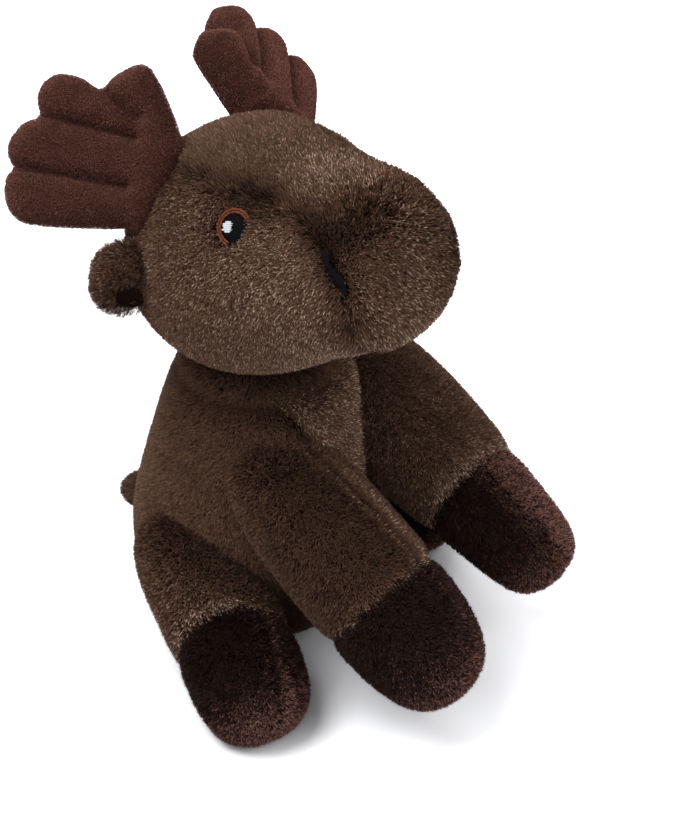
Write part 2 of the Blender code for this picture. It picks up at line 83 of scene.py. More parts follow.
# the strands of each kind of pile: length, number per square metre, width, how strongly and how widely
# they clump, and how unevenly they stand
PLAIN = (0.145 * MM, 0.50, 0.6 * MM, 0.38)
PILES = {
    "plush": (PLUSH_LENGTH, 34e6, *PLAIN),
    "neck": (2.4 * MM, 24e6, *PLAIN),
    "gusset": (2.4 * MM, 38e6, 0.145 * MM, 0.75, 0.8 * MM, 0.32),
    "cheek": (2.4 * MM, 38e6, 0.145 * MM, 0.40, 0.45 * MM, 0.48),
    "hoof": (HOOF_LENGTH, 36e6, 0.14 * MM, 1.1, 0.9 * MM, 0.50),
    "antler": (0.60 * MM, 48e6, 0.13 * MM, 0.4, 0.4 * MM, 0.6),
    "ear": (2.6 * MM, 40e6, *PLAIN),
    "ear_hollow": (1.2 * MM, 36e6, *PLAIN),
    "tail": (2.4 * MM, 64e6, 0.145 * MM, 0.9, 0.6 * MM, 0.38),
}

# Torso
TORSO_HEIGHT = 70.5 * MM
TORSO_HALF_WIDTH = 26.0 * MM
TORSO_HALF_DEPTH = 27.5 * MM
TORSO_LEAN = 4.0 * MM
TORSO_SIDES = 12
# height, centre shift, half width and half depth, each a share of its own size
TORSO_RINGS = (
    (0.015, 0.90, 0.62, 0.62), (0.09, 0.90, 0.90, 0.92), (0.30, 0.95, 1.02, 1.03), (0.56, 0.34, 0.96, 0.93),
    (0.80, -0.05, 0.86, 0.79), (0.94, -0.25, 0.72, 0.70), (1.00, -0.25, 0.44, 0.46),
)
# the chest panel widens from the belly to the throat: half width and height at either end
CHEST_LOW = in_mm(6.7, 48.4)
CHEST_HIGH = in_mm(11.2, 62.5)
CHEST_SEAM = 0.9 * MM
# how far in front of the middle the chest's own pile begins
CHEST_PLACE = 12 * MM
# how light the torso is, and how much lighter its chest panel
TORSO_SHADE = 0.87
CHEST_LIGHTER = 0.22
# how much and how far the torso is darker by the head, and how much between the legs
HEAD_SHADOW = (0.42, 10.0 * MM)
BELLY_SHADOW = 0.65

# Neck roll: its middle lies this far over the neck's joint
NECK_RISE = 3 * MM
NECK_RADIUS = 15.0 * MM
NECK_STRETCH = 0.8

# Head
HEAD_RISE = 31.0 * MM
HEAD_TURN = -22.0
HEAD_LIFT = 15.0
HEAD_BACK = 23.0 * MM
HEAD_LENGTH = 71.0 * MM
SKULL = 26.5 * MM
HEAD_SIDES = 12
# place along the head, rise, half width and half height, as shares
HEAD_RINGS = (
    (0.00, -0.04, 0.37, 0.37), (0.06, -0.05, 0.75, 0.75), (0.18, -0.05, 0.97, 0.94),
    (0.34, 0.00, 1.04, 1.05), (0.52, 0.05, 0.90, 0.94), (0.68, 0.09, 0.76, 0.74),
    (0.84, 0.11, 0.71, 0.68), (0.955, 0.14, 0.51, 0.46), (0.99, 0.14, 0.26, 0.25),
)
# the gusset's seam in the head's own axes and for the left side, with how deep it is drawn in, in mm:
# from behind the antler over the eye, by the nostril and round the chin
GUSSET_SEAM = (
    ((15.5, 14.0, 16.5), 0.3), ((14.5, 4.0, 19.0), 0.8), ((13.0, -4.5, 18.2), 1.4),
    ((12.5, -10.2, 17.4), 1.7), ((11.6, -15.7, 16.8), 2.0), ((11.2, -21.2, 16.2), 2.3),
    ((10.8, -27.5, 15.8), 1.0), ((11.6, -33.3, 13.4), 0.8), ((12.2, -37.2, 10.6), 1.0),
    ((12.6, -40.6, 3.6), 1.0), ((12.0, -40.8, -2.0), 1.3), ((10.6, -38.4, -7.5), 1.5),
    ((6.5, -35.5, -12.0), 1.0), ((0.0, -33.0, -14.5), 0.6),
)
SEAM_REACH = 1.6 * MM
# where painted shade darkens the head's pile, beside the nostrils and in the crease over the eye: the place
# in mm, and how much and how far
SHADED_PLACES = (
    ((8.0, -39.0, 13.0), (0.20, 8.0 * MM)), ((8.5, -44.0, 4.0), (0.10, 8.0 * MM)),
    ((12.0, -19.0, 16.5), (0.30, 4.5 * MM)),
)
# how much shorter the pile is round the embroidery, and how far
SHORTER = (0.5, 1.6 * MM)
DARKEST = 0.35

# Legs: where a left one starts in the torso, where it ends, and its radius
LEG_KINDS = {
    "front": (in_mm(12.8, -1.0, 56.0), in_mm(21.5, -57.5, 14.5), 12.8 * MM),
    "hind": (in_mm(14.6, 13.8, 36.0), in_mm(40.0, -23.0, 8.0), 14.5 * MM),
}
LEG_SIDES = 8
# Each leg's own form.
# shift: how far its hip and tip lie from the places above, in mm; full: how full it is stuffed
# rings: along the leg, as shares of its length and radius
# hoof: where the hoof's seam crosses the leg's axis, and how much it is tilted to the top and to the
#     toy's right
# ridge: how far round from the top the ridge seam lies, in degrees towards the toy's right, at hip and
#     hoof, and how strong it is on the leg and on the hoof
# shade: how light the leg is, and the hoof inside and outside its ridge
HIND_RINGS = (
    (0, 0.58), (0.08, 0.92), (0.26, 1.02), (0.50, 0.95), (0.74, 0.96), (0.91, 0.82), (1.00, 0.42))
LEG_FORMS = {
    ("front", "right"): dict(
        shift=((0.4, -0.3, 0.3), (-0.6, 1.5, -0.3)), full=1.0, rings=(
            (0, 0.42), (0.08, 0.80), (0.26, 1.15), (0.50, 1.17), (0.72, 1.15), (0.89, 0.99), (0.99, 0.54)),
        hoof=(0.63, 0.12, 0.10), ridge=(-8.0, -32.0, 1.0, 0.35), shade=(0.68, 1.02, 1.20)),
    # the left front leg is stuffed fuller, and its hoof hangs lower
    ("front", "left"): dict(
        shift=((2.0, -1.2, 9.8), (-0.1, -0.9, -1.8)), full=1.06, rings=(
            (0, 0.42), (0.08, 0.86), (0.26, 1.16), (0.50, 1.14), (0.72, 0.92), (0.89, 0.83), (1.01, 0.67)),
        hoof=(0.66, 0.50, 0.56), ridge=(34.0, 20.0, 0.15, 0.5), shade=(0.94, 1.20, 2.65)),
    ("hind", "right"): dict(
        shift=((0, 0, 0), (0.4, 0.9, 0)), full=0.97, rings=HIND_RINGS,
        hoof=(0.60, 0.60, 0.28), ridge=(-75.0, -12.0, 0.0, 0.4), shade=(0.98, 1.18, 1.09)),
    ("hind", "left"): dict(
        shift=((0, 0, 0), (-2.0, -5.0, 0)), full=1.02, rings=HIND_RINGS,
        hoof=(0.60, 0.60, -0.28), ridge=(75.0, 12.0, 0.0, 0.4), shade=(0.95, 1.18, 1.09)),
}
# how flat the seat presses the hind legs, and the lowest that a skin goes over the floor
SEAT_PRESS = 1.2 * MM
FLOOR_SKIN = 0.35 * MM
# how deep and wide a hoof's seam is drawn in, and how deep a ridge seam is, as a share of the radius
SEAM_PINCH = 0.9 * MM
SEAM_WIDTH = 1.8 * MM
SEAM_NOTCH = 0.12
# how much and how far painted shade darkens a hind leg in the crease under the torso and under the front leg
BODY_CREASE_SHADE = (0.60, 4.5 * MM)
LEG_CREASE_SHADE = (0.55, 7.0 * MM)
# how light a leg is where it goes over into the torso
HIP_SHADE = 0.88
# the lightest shade on a hoof
HOOF_LIGHTEST = 2.15

# Antlers, in the head's own axes and for the left side
ANTLER_SEAM_DIRECTION = (0.670, 0.057, -0.739)
ANTLER_OUT_DIRECTION = (0.488, 0.717, 0.498)
ANTLER_THICKNESS = {"right": 3.4 * MM, "left": 4.2 * MM}
ANTLER_CELL = 0.7 * MM
# outline from the upper end of the root seam round the four lobes: along the seam and out, in mm
ANTLER_OUTLINE = (
    (-4.0, -3.0), (-7.0, -0.6), (-10.4, 2.6), (-14.1, 6.8), (-16.0, 9.9), (-15.2, 11.8), (-12.2, 14.2),
    (-8.6, 16.0), (-8.9, 20.2), (-8.0, 24.0), (-5.2, 25.9), (-2.6, 25.7), (0.4, 24.2), (3.3, 26.4),
    (6.7, 27.2), (9.2, 26.5), (11.0, 24.7), (13.4, 25.0), (16.2, 24.1), (18.9, 21.6), (19.2, 18.0),
    (16.0, 9.1), (12.8, 1.6), (10.5, -3.0),
)
OUTLINE_STEPS = 14
# the stitched grooves between the lobes, each from its notch towards the root
ANTLER_GROOVES = (((-8.6, 16.0), (-6.6, 7.0)), ((0.4, 24.2), (-2.9, 6.0)), ((11.0, 24.7), (6.0, 4.0)))
GROOVE_WIDTH = 1.3 * MM
GROOVE_SHARE = 0.66
# the rim's half thickness, how far in from it a lobe swells, and how far the palm is cupped
RIM = 0.35 * MM
LOBE_ROUND = 4.6 * MM
PALM_CUP = 1.5 * MM
# half the width of the square that the palm is cut from, and how far its middle lies out of the seam
PALM_REACH = 30 * MM
PALM_MIDDLE = 12 * MM
# the left antler is sewn on a little nearer the forehead
ANTLER_SHIFT = {"right": (0, 0), "left": in_mm(-4.7, -3.0)}

# Ears
EAR_OUT_DIRECTION = (0.80, 0.45, 0.30)
EAR_WIDE_DIRECTION = (-0.25, -0.10, 1.00)
EAR_LENGTH = 7.0 * MM
EAR_HALF_WIDTH = 6.5 * MM
EAR_HALF_THICKNESS = 2.2 * MM
EAR_RINGS = (
    (0.0, 0.75, 0.80), (0.20, 0.95, 1.00), (0.62, 1.00, 1.00), (0.90, 0.72, 0.75), (1.0, 0.38, 0.40))
EAR_SIDES = 10
# how far an ear starts inside the head, and how deep and wide its hollow is
EAR_SINK = 2.0 * MM
EAR_HOLLOW = 1.5 * MM
EAR_HOLLOW_WIDTH = 3.2 * MM

# Tail
TAIL_OUT_DIRECTION = (0.0, 0.80, -0.35)
TAIL_DROP = (0.0, -0.9 * MM, -1.1 * MM)
TAIL_LENGTH = 5.0 * MM
TAIL_RADIUS = 2.6 * MM
TAIL_RINGS = ((-0.5, 0.80), (0.35, 1.00), (0.80, 0.80), (1.0, 0.40))
TAIL_SIDES = 8

# Embroidery, in the head's own axes and for the left side
THREAD = 0.21 * MM
STITCH_LENGTH = 0.95 * MM
# how far the stitches lie under the tips of the pile
STITCH_DEPTH = 1.5 * MM
EYE_PLACE = in_mm(16.8, -17.5, 13.0)
EYE_STRETCH = 1.10
# pupil and highlight are satin patches: radius, rise, pitch, slant in degrees and how ragged the ends are
PUPIL = (2.5 * MM, 0.75 * MM, 0.33 * MM, 50.0, 0.06)
HIGHLIGHT = (1.2 * MM, 0.25 * MM, 0.34 * MM, 20.0, 0.25)
HIGHLIGHT_PLACE = in_mm(1.05, -0.25, 0.60)
RING_RADII = in_mm(2.85, 3.33)
RING_ENDS = (46.0, 264.0)
NOSTRIL_ENDS = (in_mm(-38.9, 11.2), in_mm(-42.6, 4.4))
NOSTRIL_STITCHES = 22
NOSTRIL_HALF_WIDTH = 1.0 * MM
NOSTRIL_SWAY = 0.35 * MM
# which way the stitches run, and how high they stand in mm
NOSTRIL_ACROSS = (0, 0.86, -0.51)
NOSTRIL_RISE = 0.45
# the eye's place lies on a ray from the middle of the skull, and its stitches this share of the way out;
# no pile grows this near them, or on the nostril's line
EYE_CLEAR = 3.4 * MM
EYE_OUT = 0.93
NOSTRIL_LINE = (in_mm(12.3, -37.6, 10.6), in_mm(12.6, -41.0, 3.9))

# Camera, light and floor
CAMERA_AZIMUTH = -64.0
CAMERA_ELEVATION = 38.0
CAMERA_DISTANCE = 380.0 * MM
CAMERA_TARGET = Vector((0, -17.6 * MM + NECK.y, 59.2 * MM))
FILM_HEIGHT = 24.0
CAMERA_LENS = 56.09
# azimuth, elevation, distance, size and power
LAMPS = {
    "key_light": (-130.0, 64.0, 0.75, 0.45, 3.2),
    "front_light": (8.0, 42.0, 0.9, 0.6, 1.9),
    "back_light": (110.0, 48.0, 0.9, 0.6, 2.2),
}
LAMP_TARGET = Vector((0, 0, 0.06))
WORLD_LIGHT = 0.46
# the floor as it lights the toy and as the camera sees it, with how far and how deep a painted shadow of the
# toy goes under it
FLOOR_LIT = (0.80, 0.81, 0.83, 1.0)
FLOOR_SEEN = (1.80, 1.81, 1.87)
CONTACT_REACH = 40.0 * MM
CONTACT_TONE = 0.45


# Nodes
def node(tree, kind, sockets=(), **settings):
    """Adds a node. Each socket takes a value or the output of another node."""
    made = tree.nodes.new(kind)
    for name, value in settings.items():
        setattr(made, name, value)
    for key, value in dict(sockets).items():
        if isinstance(value, bpy.types.NodeSocket):
            tree.links.new(value, made.inputs[key])
        else:
            made.inputs[key].default_value = value
    return made


def maths(tree, operation, *values):
    """One Math node's output."""
    return node(tree, "ShaderNodeMath", dict(enumerate(values)), operation=operation).outputs[0]


def vectors(tree, operation, first, second):
    """One Vector Math node's output."""
    key = "Scale" if operation == "SCALE" else 1
    return node(tree, "ShaderNodeVectorMath", {0: first, key: second}, operation=operation).outputs[0]


def blended(tree, factor, first, second):
    """The colour between two others."""
    sockets = {"Factor": factor, 6: first, 7: second}
    return node(tree, "ShaderNodeMix", sockets, data_type="RGBA").outputs[2]


def new_group(name, kind, inputs, output):
    """A node group with its sockets, and what it is given."""
    tree = bpy.data.node_groups.new(name, kind)
    for names, socket in inputs:
        for each in names:
            tree.interface.new_socket(each, in_out="INPUT", socket_type=f"NodeSocket{socket}")
    tree.interface.new_socket(output[0], in_out="OUTPUT", socket_type=f"NodeSocket{output[1]}")
    return tree, tree.nodes.new("NodeGroupInput").outputs


def pile_group():
    """The node group that grows a pile on a skin."""
    tree, given = new_group("pile", "GeometryNodeTree", (
        (("Geometry",), "Geometry"), (("Strand",), "Object"),
        (("Density", "Length", "Width", "Tuft", "Tuft Size", "Unevenness"), "Float"), (("Seed",), "Int"),
    ), ("Geometry", "Geometry"))

    def named(name, kind="FLOAT"):
        made = node(tree, "GeometryNodeInputNamedAttribute", {"Name": name}, data_type=kind)
        return made.outputs["Attribute"]

    def chance(low, high, shift):
        sockets = {2: low, 3: high, "Seed": maths(tree, "ADD", given["Seed"], shift)}
        return node(tree, "FunctionNodeRandomValue", sockets, data_type="FLOAT").outputs[1]

    scattered = node(tree, "GeometryNodeDistributePointsOnFaces", {
        "Mesh": given["Geometry"], "Seed": given["Seed"],
        "Density": maths(tree, "MULTIPLY", named("cover"), given["Density"]),
    })
    normal = scattered.outputs["Normal"]
    comb = named("comb", "FLOAT_VECTOR")
    place = node(tree, "GeometryNodeInputPosition").outputs[0]

    def waves(size, shift):
        sockets = {
            "Vector": vectors(tree, "ADD", place, (shift, shift, shift)),
            "Scale": maths(tree, "DIVIDE", 1.0, size), "Detail": 1.0,
        }
        made = node(tree, "ShaderNodeTexNoise", sockets)
        made = vectors(tree, "SUBTRACT", made.outputs["Color"], (0.5, 0.5, 0.5))
        return vectors(tree, "SCALE", made, given["Tuft"])

    tuft = waves(given["Tuft Size"], 0.0)
    broad = waves(maths(tree, "MULTIPLY", given["Tuft Size"], 3.2), 0.3)
    stray = node(tree, "FunctionNodeRandomValue", {0: (-1, -1, -1), 1: (1, 1, 1)}, data_type="FLOAT_VECTOR")
    stray = vectors(tree, "SCALE", stray.outputs[0], given["Unevenness"])
    way = vectors(tree, "ADD", normal, comb)
    for part in (tuft, broad, stray):
        way = vectors(tree, "ADD", way, part)
    bend = vectors(tree, "ADD", comb, tuft)
    bend = vectors(tree, "SUBTRACT", bend, vectors(tree, "SCALE", normal, 0.5))

    stood = node(tree, "FunctionNodeAlignRotationToVector", {"Vector": way}, axis="Z").outputs[0]
    bent = node(tree, "FunctionNodeAlignRotationToVector", {"Rotation": stood, "Vector": bend},
                axis="X", pivot_axis="Z").outputs[0]
    twist = node(tree, "FunctionNodeAxisAngleToRotation", {"Axis": (0, 0, 1), "Angle": chance(-0.9, 0.9, 7)})
    turned = node(tree, "FunctionNodeRotateRotation", {"Rotation": bent, "Rotate By": twist.outputs[0]},
                  rotation_space="LOCAL").outputs[0]
    length = maths(tree, "MULTIPLY", named("pile"), given["Length"])
    length = maths(tree, "MULTIPLY", length, chance(0.80, 1.08, 11))
    width = maths(tree, "MULTIPLY", given["Width"], chance(0.7, 1.3, 13))
    size = node(tree, "ShaderNodeCombineXYZ", {"X": length, "Y": width, "Z": length}).outputs[0]
    strand = node(tree, "GeometryNodeObjectInfo", {"Object": given["Strand"]}).outputs["Geometry"]
    grown = node(tree, "GeometryNodeInstanceOnPoints", {
        "Points": scattered.outputs["Points"], "Instance": strand, "Rotation": turned, "Scale": size,
    }).outputs[0]

    def stored(shape, name, value, domain, kind="FLOAT"):
        sockets = {"Geometry": shape, "Name": name, "Value": value}
        made = node(tree, "GeometryNodeStoreNamedAttribute", sockets, domain=domain, data_type=kind)
        return made.outputs[0]

    index = node(tree, "GeometryNodeInputIndex").outputs[0]
    grown = stored(grown, "tone", chance(0.0, 1.0, 17), "INSTANCE")
    grown = stored(grown, "cell", index, "INSTANCE")
    counted = node(tree, "GeometryNodeAttributeDomainSize", {"Geometry": grown}, component="INSTANCES")
    across = maths(tree, "CEIL", maths(tree, "SQRT", counted.outputs["Instance Count"]))
    whole = node(tree, "GeometryNodeRealizeInstances", {"Geometry": grown}).outputs[0]
    # each strand gets its own small square of the bake map
    blade = node(tree, "ShaderNodeSeparateXYZ", {0: named("blade", "FLOAT_VECTOR")})
    column = maths(tree, "MODULO", named("cell"), across)
    row = maths(tree, "FLOOR", maths(tree, "DIVIDE", named("cell"), across))
    spot = []
    for axis, line in enumerate((column, row)):
        inner = maths(tree, "MULTIPLY_ADD", blade.outputs[axis], 0.7, 0.15)
        spot.append(maths(tree, "DIVIDE", maths(tree, "ADD", line, inner), across))
    spot = node(tree, "ShaderNodeCombineXYZ", dict(enumerate(spot))).outputs[0]
    whole = stored(whole, "OFBake", spot, "CORNER", "FLOAT2")
    for name in ("cell", "comb", "cover", "pile"):
        whole = node(tree, "GeometryNodeRemoveAttribute", {"Geometry": whole, "Name": name}).outputs[0]
    smooth = node(tree, "GeometryNodeSetShadeSmooth", {"Geometry": whole}).outputs[0]
    node(tree, "NodeGroupOutput", {0: smooth})
    return tree


# Meshes
def link(obj):
    """Puts an object in the scene."""
    bpy.context.scene.collection.objects.link(obj)
    return obj


def mesh_piece(name, bm, finish=None):
    """A smooth-shaded piece from a bmesh."""
    bmesh.ops.recalc_face_normals(bm, faces=bm.faces)
    mesh = bpy.data.meshes.new(name)
    bm.to_mesh(mesh)
    bm.free()
    mesh.shade_smooth()
    obj = link(bpy.data.objects.new(name, mesh))
    if finish:
        mesh.materials.append(finish)
    return obj


def in_order(bm):
    """The same mesh with vertices and faces sorted by place. Some operators leave them in another order on
    each run, and the pile's random draws follow the faces."""
    verts = sorted(bm.verts, key=lambda vertex: vertex.co[:])
    places = {vertex: number for number, vertex in enumerate(verts)}
    faces = []
    for face in bm.faces:
        corners = [places[vertex] for vertex in face.verts]
        first = corners.index(min(corners))
        faces.append(corners[first:] + corners[:first])
    fresh = bmesh.new()
    made = [fresh.verts.new(vertex.co) for vertex in verts]
    for corners in sorted(faces):
        fresh.faces.new([made[corner] for corner in corners])
    bm.free()
    return fresh


def settled(obj):
    """Applies an object's modifiers to its mesh."""
    bpy.context.view_layer.update()
    mesh = bpy.data.meshes.new_from_object(obj.evaluated_get(bpy.context.evaluated_depsgraph_get()))
    old = obj.data
    obj.modifiers.clear()
    obj.data = mesh
    mesh.name = obj.name
    bpy.data.meshes.remove(old)
    return obj


def rounded(obj, levels):
    """Rounds a form with Subdivision Surface."""
    rounding = obj.modifiers.new("rounding", "SUBSURF")
    rounding.levels = rounding.render_levels = levels
    return settled(obj)


def tube(bm, circles, sides):
    """Joins circles, each a matrix and a radius, into a tube that is closed at both ends."""
    loops = []
    for number, (matrix, radius) in enumerate(circles):
        closed = number in (0, len(circles) - 1)
        made = bmesh.ops.create_circle(bm, cap_ends=closed, segments=sides, radius=radius, matrix=matrix)
        loops.append(made["verts"])
    for low, high in zip(loops, loops[1:]):
        edges = dict.fromkeys(edge for vertex in (*low, *high) for edge in vertex.link_edges)
        edges = [e for e in edges if all(v in low for v in e.verts) or all(v in high for v in e.verts)]
        bmesh.ops.bridge_loops(bm, edges=edges)


def lofted(name, rings, sides, matrix, finish=None):
    """A closed form through rings of place along Z, Y, half width and half depth, rounded and placed."""
    bm = bmesh.new()
    circles = []
    for along, depth, half_x, half_y in rings:
        spot = Matrix.Translation((0, depth, along)) @ Matrix.Diagonal((half_x, half_y, 1.0, 1.0))
        circles.append((spot, 1.0))
    tube(bm, circles, sides)
    bmesh.ops.transform(bm, matrix=matrix, verts=bm.verts)
    return rounded(mesh_piece(name, bm, finish), 3)


def strand_shape():
    """One strand: a narrow blade, pointed at the root and sheared at the tip, that leans towards +X."""
    bm = bmesh.new()
    bm.faces.new([bm.verts.new(corner) for corner in STRAND_CORNERS])
    layer = bm.loops.layers.uv.new("blade")
    for face in bm.faces:
        for loop in face.loops:
            loop[layer].uv = (loop.vert.co.y + 0.5, loop.vert.co.z)
    obj = mesh_piece("strand", bm)
    bpy.context.scene.collection.objects.unlink(obj)
    return obj


PILE = pile_group()
STRAND = strand_shape()


def grow(name, skin, finish, kind, seed, keep=None):
    """A pile of one kind on a skin, or on the faces whose middle passes keep."""
    bm = bmesh.new()
    bm.from_mesh(skin.data)
    if keep:
        out = [face for face in bm.faces if not keep(face.calc_center_median())]
        bmesh.ops.delete(bm, geom=out, context="FACES")
    obj = mesh_piece(name, bm)
    grower = obj.modifiers.new("pile", "NODES")
    grower.node_group = PILE
    values = dict(zip(("Length", "Density", "Width", "Tuft", "Tuft Size", "Unevenness"), PILES[kind]))
    values.update({"Strand": STRAND, "Seed": seed})
    for item in PILE.interface.items_tree:
        if item.in_out == "INPUT" and item.name in values:
            grower[item.identifier] = values[item.name]
    settled(obj)
    obj.data.materials.clear()
    obj.data.materials.append(finish)
    return obj


def paint(skin, look):
    """Writes the attributes that the pile follows. For a point and its normal, look gives the pile's lean,
    its cover, its length and its shade."""
    mesh = skin.data
    looks = [look(vertex.co, vertex.normal) for vertex in mesh.vertices]
    leans = []
    for vertex, (lean, *_) in zip(mesh.vertices, looks):
        lean = Vector(lean)
        leans.extend(lean - lean.dot(vertex.normal) * vertex.normal)
    mesh.attributes.new("comb", "FLOAT_VECTOR", "POINT").data.foreach_set("vector", leans)
    for place, name in enumerate(("cover", "pile", "shade"), 1):
        values = [made[place] for made in looks]
        mesh.attributes.new(name, "FLOAT", "POINT").data.foreach_set("value", values)


def plainly(lean, buried, shade):
    """A look that is the same all over, with no pile where a point is buried."""
    return lambda point, normal: (lean, 0.0 if buried(point) else 1.0, 1.0, shade)


def worn(body, piece):
    """Sets a piece on a body."""
    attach(piece, body)


def stuffed(skin, body, slot, cushion, *nodes):
    """Sets a skin on a body and hides the nodes that it stands for. Its slot and its share of stuffing are
    not used.
    """
    worn(body, skin)
    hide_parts(*nodes)


def tree_of(form):
    """A form's faces as a tree that finds the nearest one."""
    bm = bmesh.new()
    bm.from_mesh(form.data)
    tree = BVHTree.FromBMesh(bm)
    bm.free()
    return tree


def outside(*forms):
    """A measure of how far a point lies outside the nearest of the forms, negative inside one."""
    trees = [tree_of(form) for form in forms]

    def distance(point):
        found = (tree.find_nearest(point) for tree in trees)
        return min(math.copysign(away, (point - spot).dot(normal)) for spot, normal, _, away in found)

    return distance


def inside(margin, *forms):
    """A test of whether a point lies in one of the forms, deeper than the margin."""
    distance = outside(*forms)
    return lambda point: distance(point) < -margin


def above_floor(point, normal, length):
    """The share of its length that keeps a strand's tip off the floor."""
    return min(point.z / (length * (max(-normal.z, 0.0) + STRAY_DROP)), 1.0)


def clamp(value, low=0.0, high=1.0):
    """The value, kept between two others."""
    return min(max(value, low), high)


def ramp(value, low, high):
    """0 below low, 1 above high, and even between them."""
    return clamp((value - low) / (high - low))


def bump(distance, width):
    """1 at no distance, falling smoothly to 0 beyond the width."""
    return math.exp(-((distance / width) ** 2))


def shaded(distance, shadow, strength=1.0):
    """How light a point is at a distance from what shades it. A shadow is how much and how far."""
    share, reach = shadow
    return 1.0 - share * bump(max(distance, 0.0), reach) * strength


def share_of(point, start, run):
    """Where on a line a point's foot lies, as a share of the line."""
    return clamp((point - start).dot(run) / run.length_squared)


def near_segment(point, start, end):
    """A point's distance to a line between two ends."""
    run = end - start
    return (point - start - run * share_of(point, start, run)).length


def toward(azimuth, elevation):
    """The way from the toy to what is seen at an azimuth and elevation in degrees."""
    turn, rise = math.radians(azimuth), math.radians(elevation)
    return Vector((math.sin(turn) * math.cos(rise), -math.cos(turn) * math.cos(rise), math.sin(rise)))


def upright(out, wide):
    """A turn with Z along out and X as near to wide as it can be."""
    out = Vector(out).normalized()
    wide = Vector(wide)
    wide = (wide - wide.dot(out) * out).normalized()
    return Matrix((wide, out.cross(wide), out)).transposed().to_4x4()


def mirrored(point, side):
    """A point given for the left side, put on the left (1) or the right (-1)."""
    return Vector((side * point[0], point[1], point[2]))


def folded(spot):
    """A point of the head, moved to its left side."""
    return Vector((abs(spot.x), spot.y, spot.z))


# Materials
def shade_group():
    """The colour of a strand or skin from its root and tip colours, its tone and its patches."""
    tree, given = new_group("pile_colour", "ShaderNodeTree", (
        (("Root", "Middle", "Tip", "Glint"), "Color"),
        (("Glint Share", "Tone Spread", "Patch Spread", "Patch Scale"), "Float"),
    ), ("Colour", "Color"))

    def from_root(low, high):
        """0 nearer the root than low, and 1 nearer the tip than high."""
        sockets = {"Value": along, "From Min": low, "From Max": high}
        return node(tree, "ShaderNodeMapRange", sockets).outputs[0]

    blade = node(tree, "ShaderNodeUVMap", uv_map="blade").outputs[0]
    along = node(tree, "ShaderNodeSeparateXYZ", {0: blade}).outputs[1]
    tone = node(tree, "ShaderNodeAttribute", attribute_name="tone").outputs["Fac"]
    shade = node(tree, "ShaderNodeAttribute", attribute_name="shade").outputs["Fac"]
    place = node(tree, "ShaderNodeTexCoord").outputs["Object"]
    low = blended(tree, from_root(0.0, 0.55), given["Root"], given["Middle"])
    high = blended(tree, from_root(0.5, 1.0), low, given["Tip"])
    # a painted highlight: a share of the strands catches the light at the tip, more of them where the pile
    # is lighter
    least = maths(tree, "SUBTRACT", 1.0, given["Glint Share"])
    sockets = {"Value": maths(tree, "MULTIPLY", tone, shade), "From Min": least}
    shine = node(tree, "ShaderNodeMapRange", sockets).outputs[0]
    shine = maths(tree, "MULTIPLY", shine, from_root(0.62, 0.92))
    glint = blended(tree, shine, high, given["Glint"])
    spread = maths(tree, "MULTIPLY_ADD", maths(tree, "SUBTRACT", tone, 0.5), given["Tone Spread"], 1.0)
    sockets = {"Vector": place, "Scale": given["Patch Scale"], "Detail": 2.0}
    patch = maths(tree, "SUBTRACT", node(tree, "ShaderNodeTexNoise", sockets).outputs["Fac"], 0.5)
    patch = maths(tree, "MULTIPLY_ADD", patch, given["Patch Spread"], 1.0)
    level = maths(tree, "MULTIPLY", maths(tree, "MULTIPLY", spread, patch), shade)
    node(tree, "NodeGroupOutput", {0: vectors(tree, "SCALE", glint, level)})
    return tree


SHADE = shade_group()


def material(name, roughness, specular):
    """A new material, its tree and its shader."""
    made = bpy.data.materials.new(name)
    made.use_nodes = True
    shader = made.node_tree.nodes["Principled BSDF"]
    shader.inputs["Roughness"].default_value = roughness
    shader.inputs["Specular IOR Level"].default_value = specular
    return made, made.node_tree, shader


def pile_material(name, root, middle, tip, glint, share, roughness, tone):
    """A pile of one colour, darker at the roots."""
    made, tree, shader = material(name, roughness, 0.12)
    values = {"Glint Share": share, "Tone Spread": tone, "Patch Spread": 0.5, "Patch Scale": 260.0}
    for key, value in (("Root", root), ("Middle", middle), ("Tip", tip), ("Glint", glint)):
        values[key] = (*value, 1.0)
    colour = node(tree, "ShaderNodeGroup", values, node_tree=SHADE)
    tree.links.new(colour.outputs["Colour"], shader.inputs["Base Color"])
    return made


def woven_material(name, low, high, roughness, specular, scale, detail, height, strength):
    """Cloth or thread: mottled between two colours by a fine noise, which is its bump too."""
    made, tree, shader = material(name, roughness, specular)
    place = node(tree, "ShaderNodeTexCoord").outputs["Object"]
    sockets = {"Vector": place, "Scale": scale, "Detail": detail}
    fibres = node(tree, "ShaderNodeTexNoise", sockets).outputs["Fac"]
    tree.links.new(blended(tree, fibres, (*low, 1.0), (*high, 1.0)), shader.inputs["Base Color"])
    rough = node(tree, "ShaderNodeBump", {"Height": fibres, "Distance": height, "Strength": strength})
    tree.links.new(rough.outputs[0], shader.inputs["Normal"])
    return made


def backing_material(name, low, high, scale=1500.0):
    """The cloth that a pile grows on."""
    return woven_material(name, low, high, 0.95, 0.10, scale, 3.0, 0.2 * MM, 0.8)


def thread_material(name, low, high, roughness):
    """Embroidery thread."""
    return woven_material(name, low, high, roughness, 0.06, 2600.0, 2.0, 0.05 * MM, 0.6)
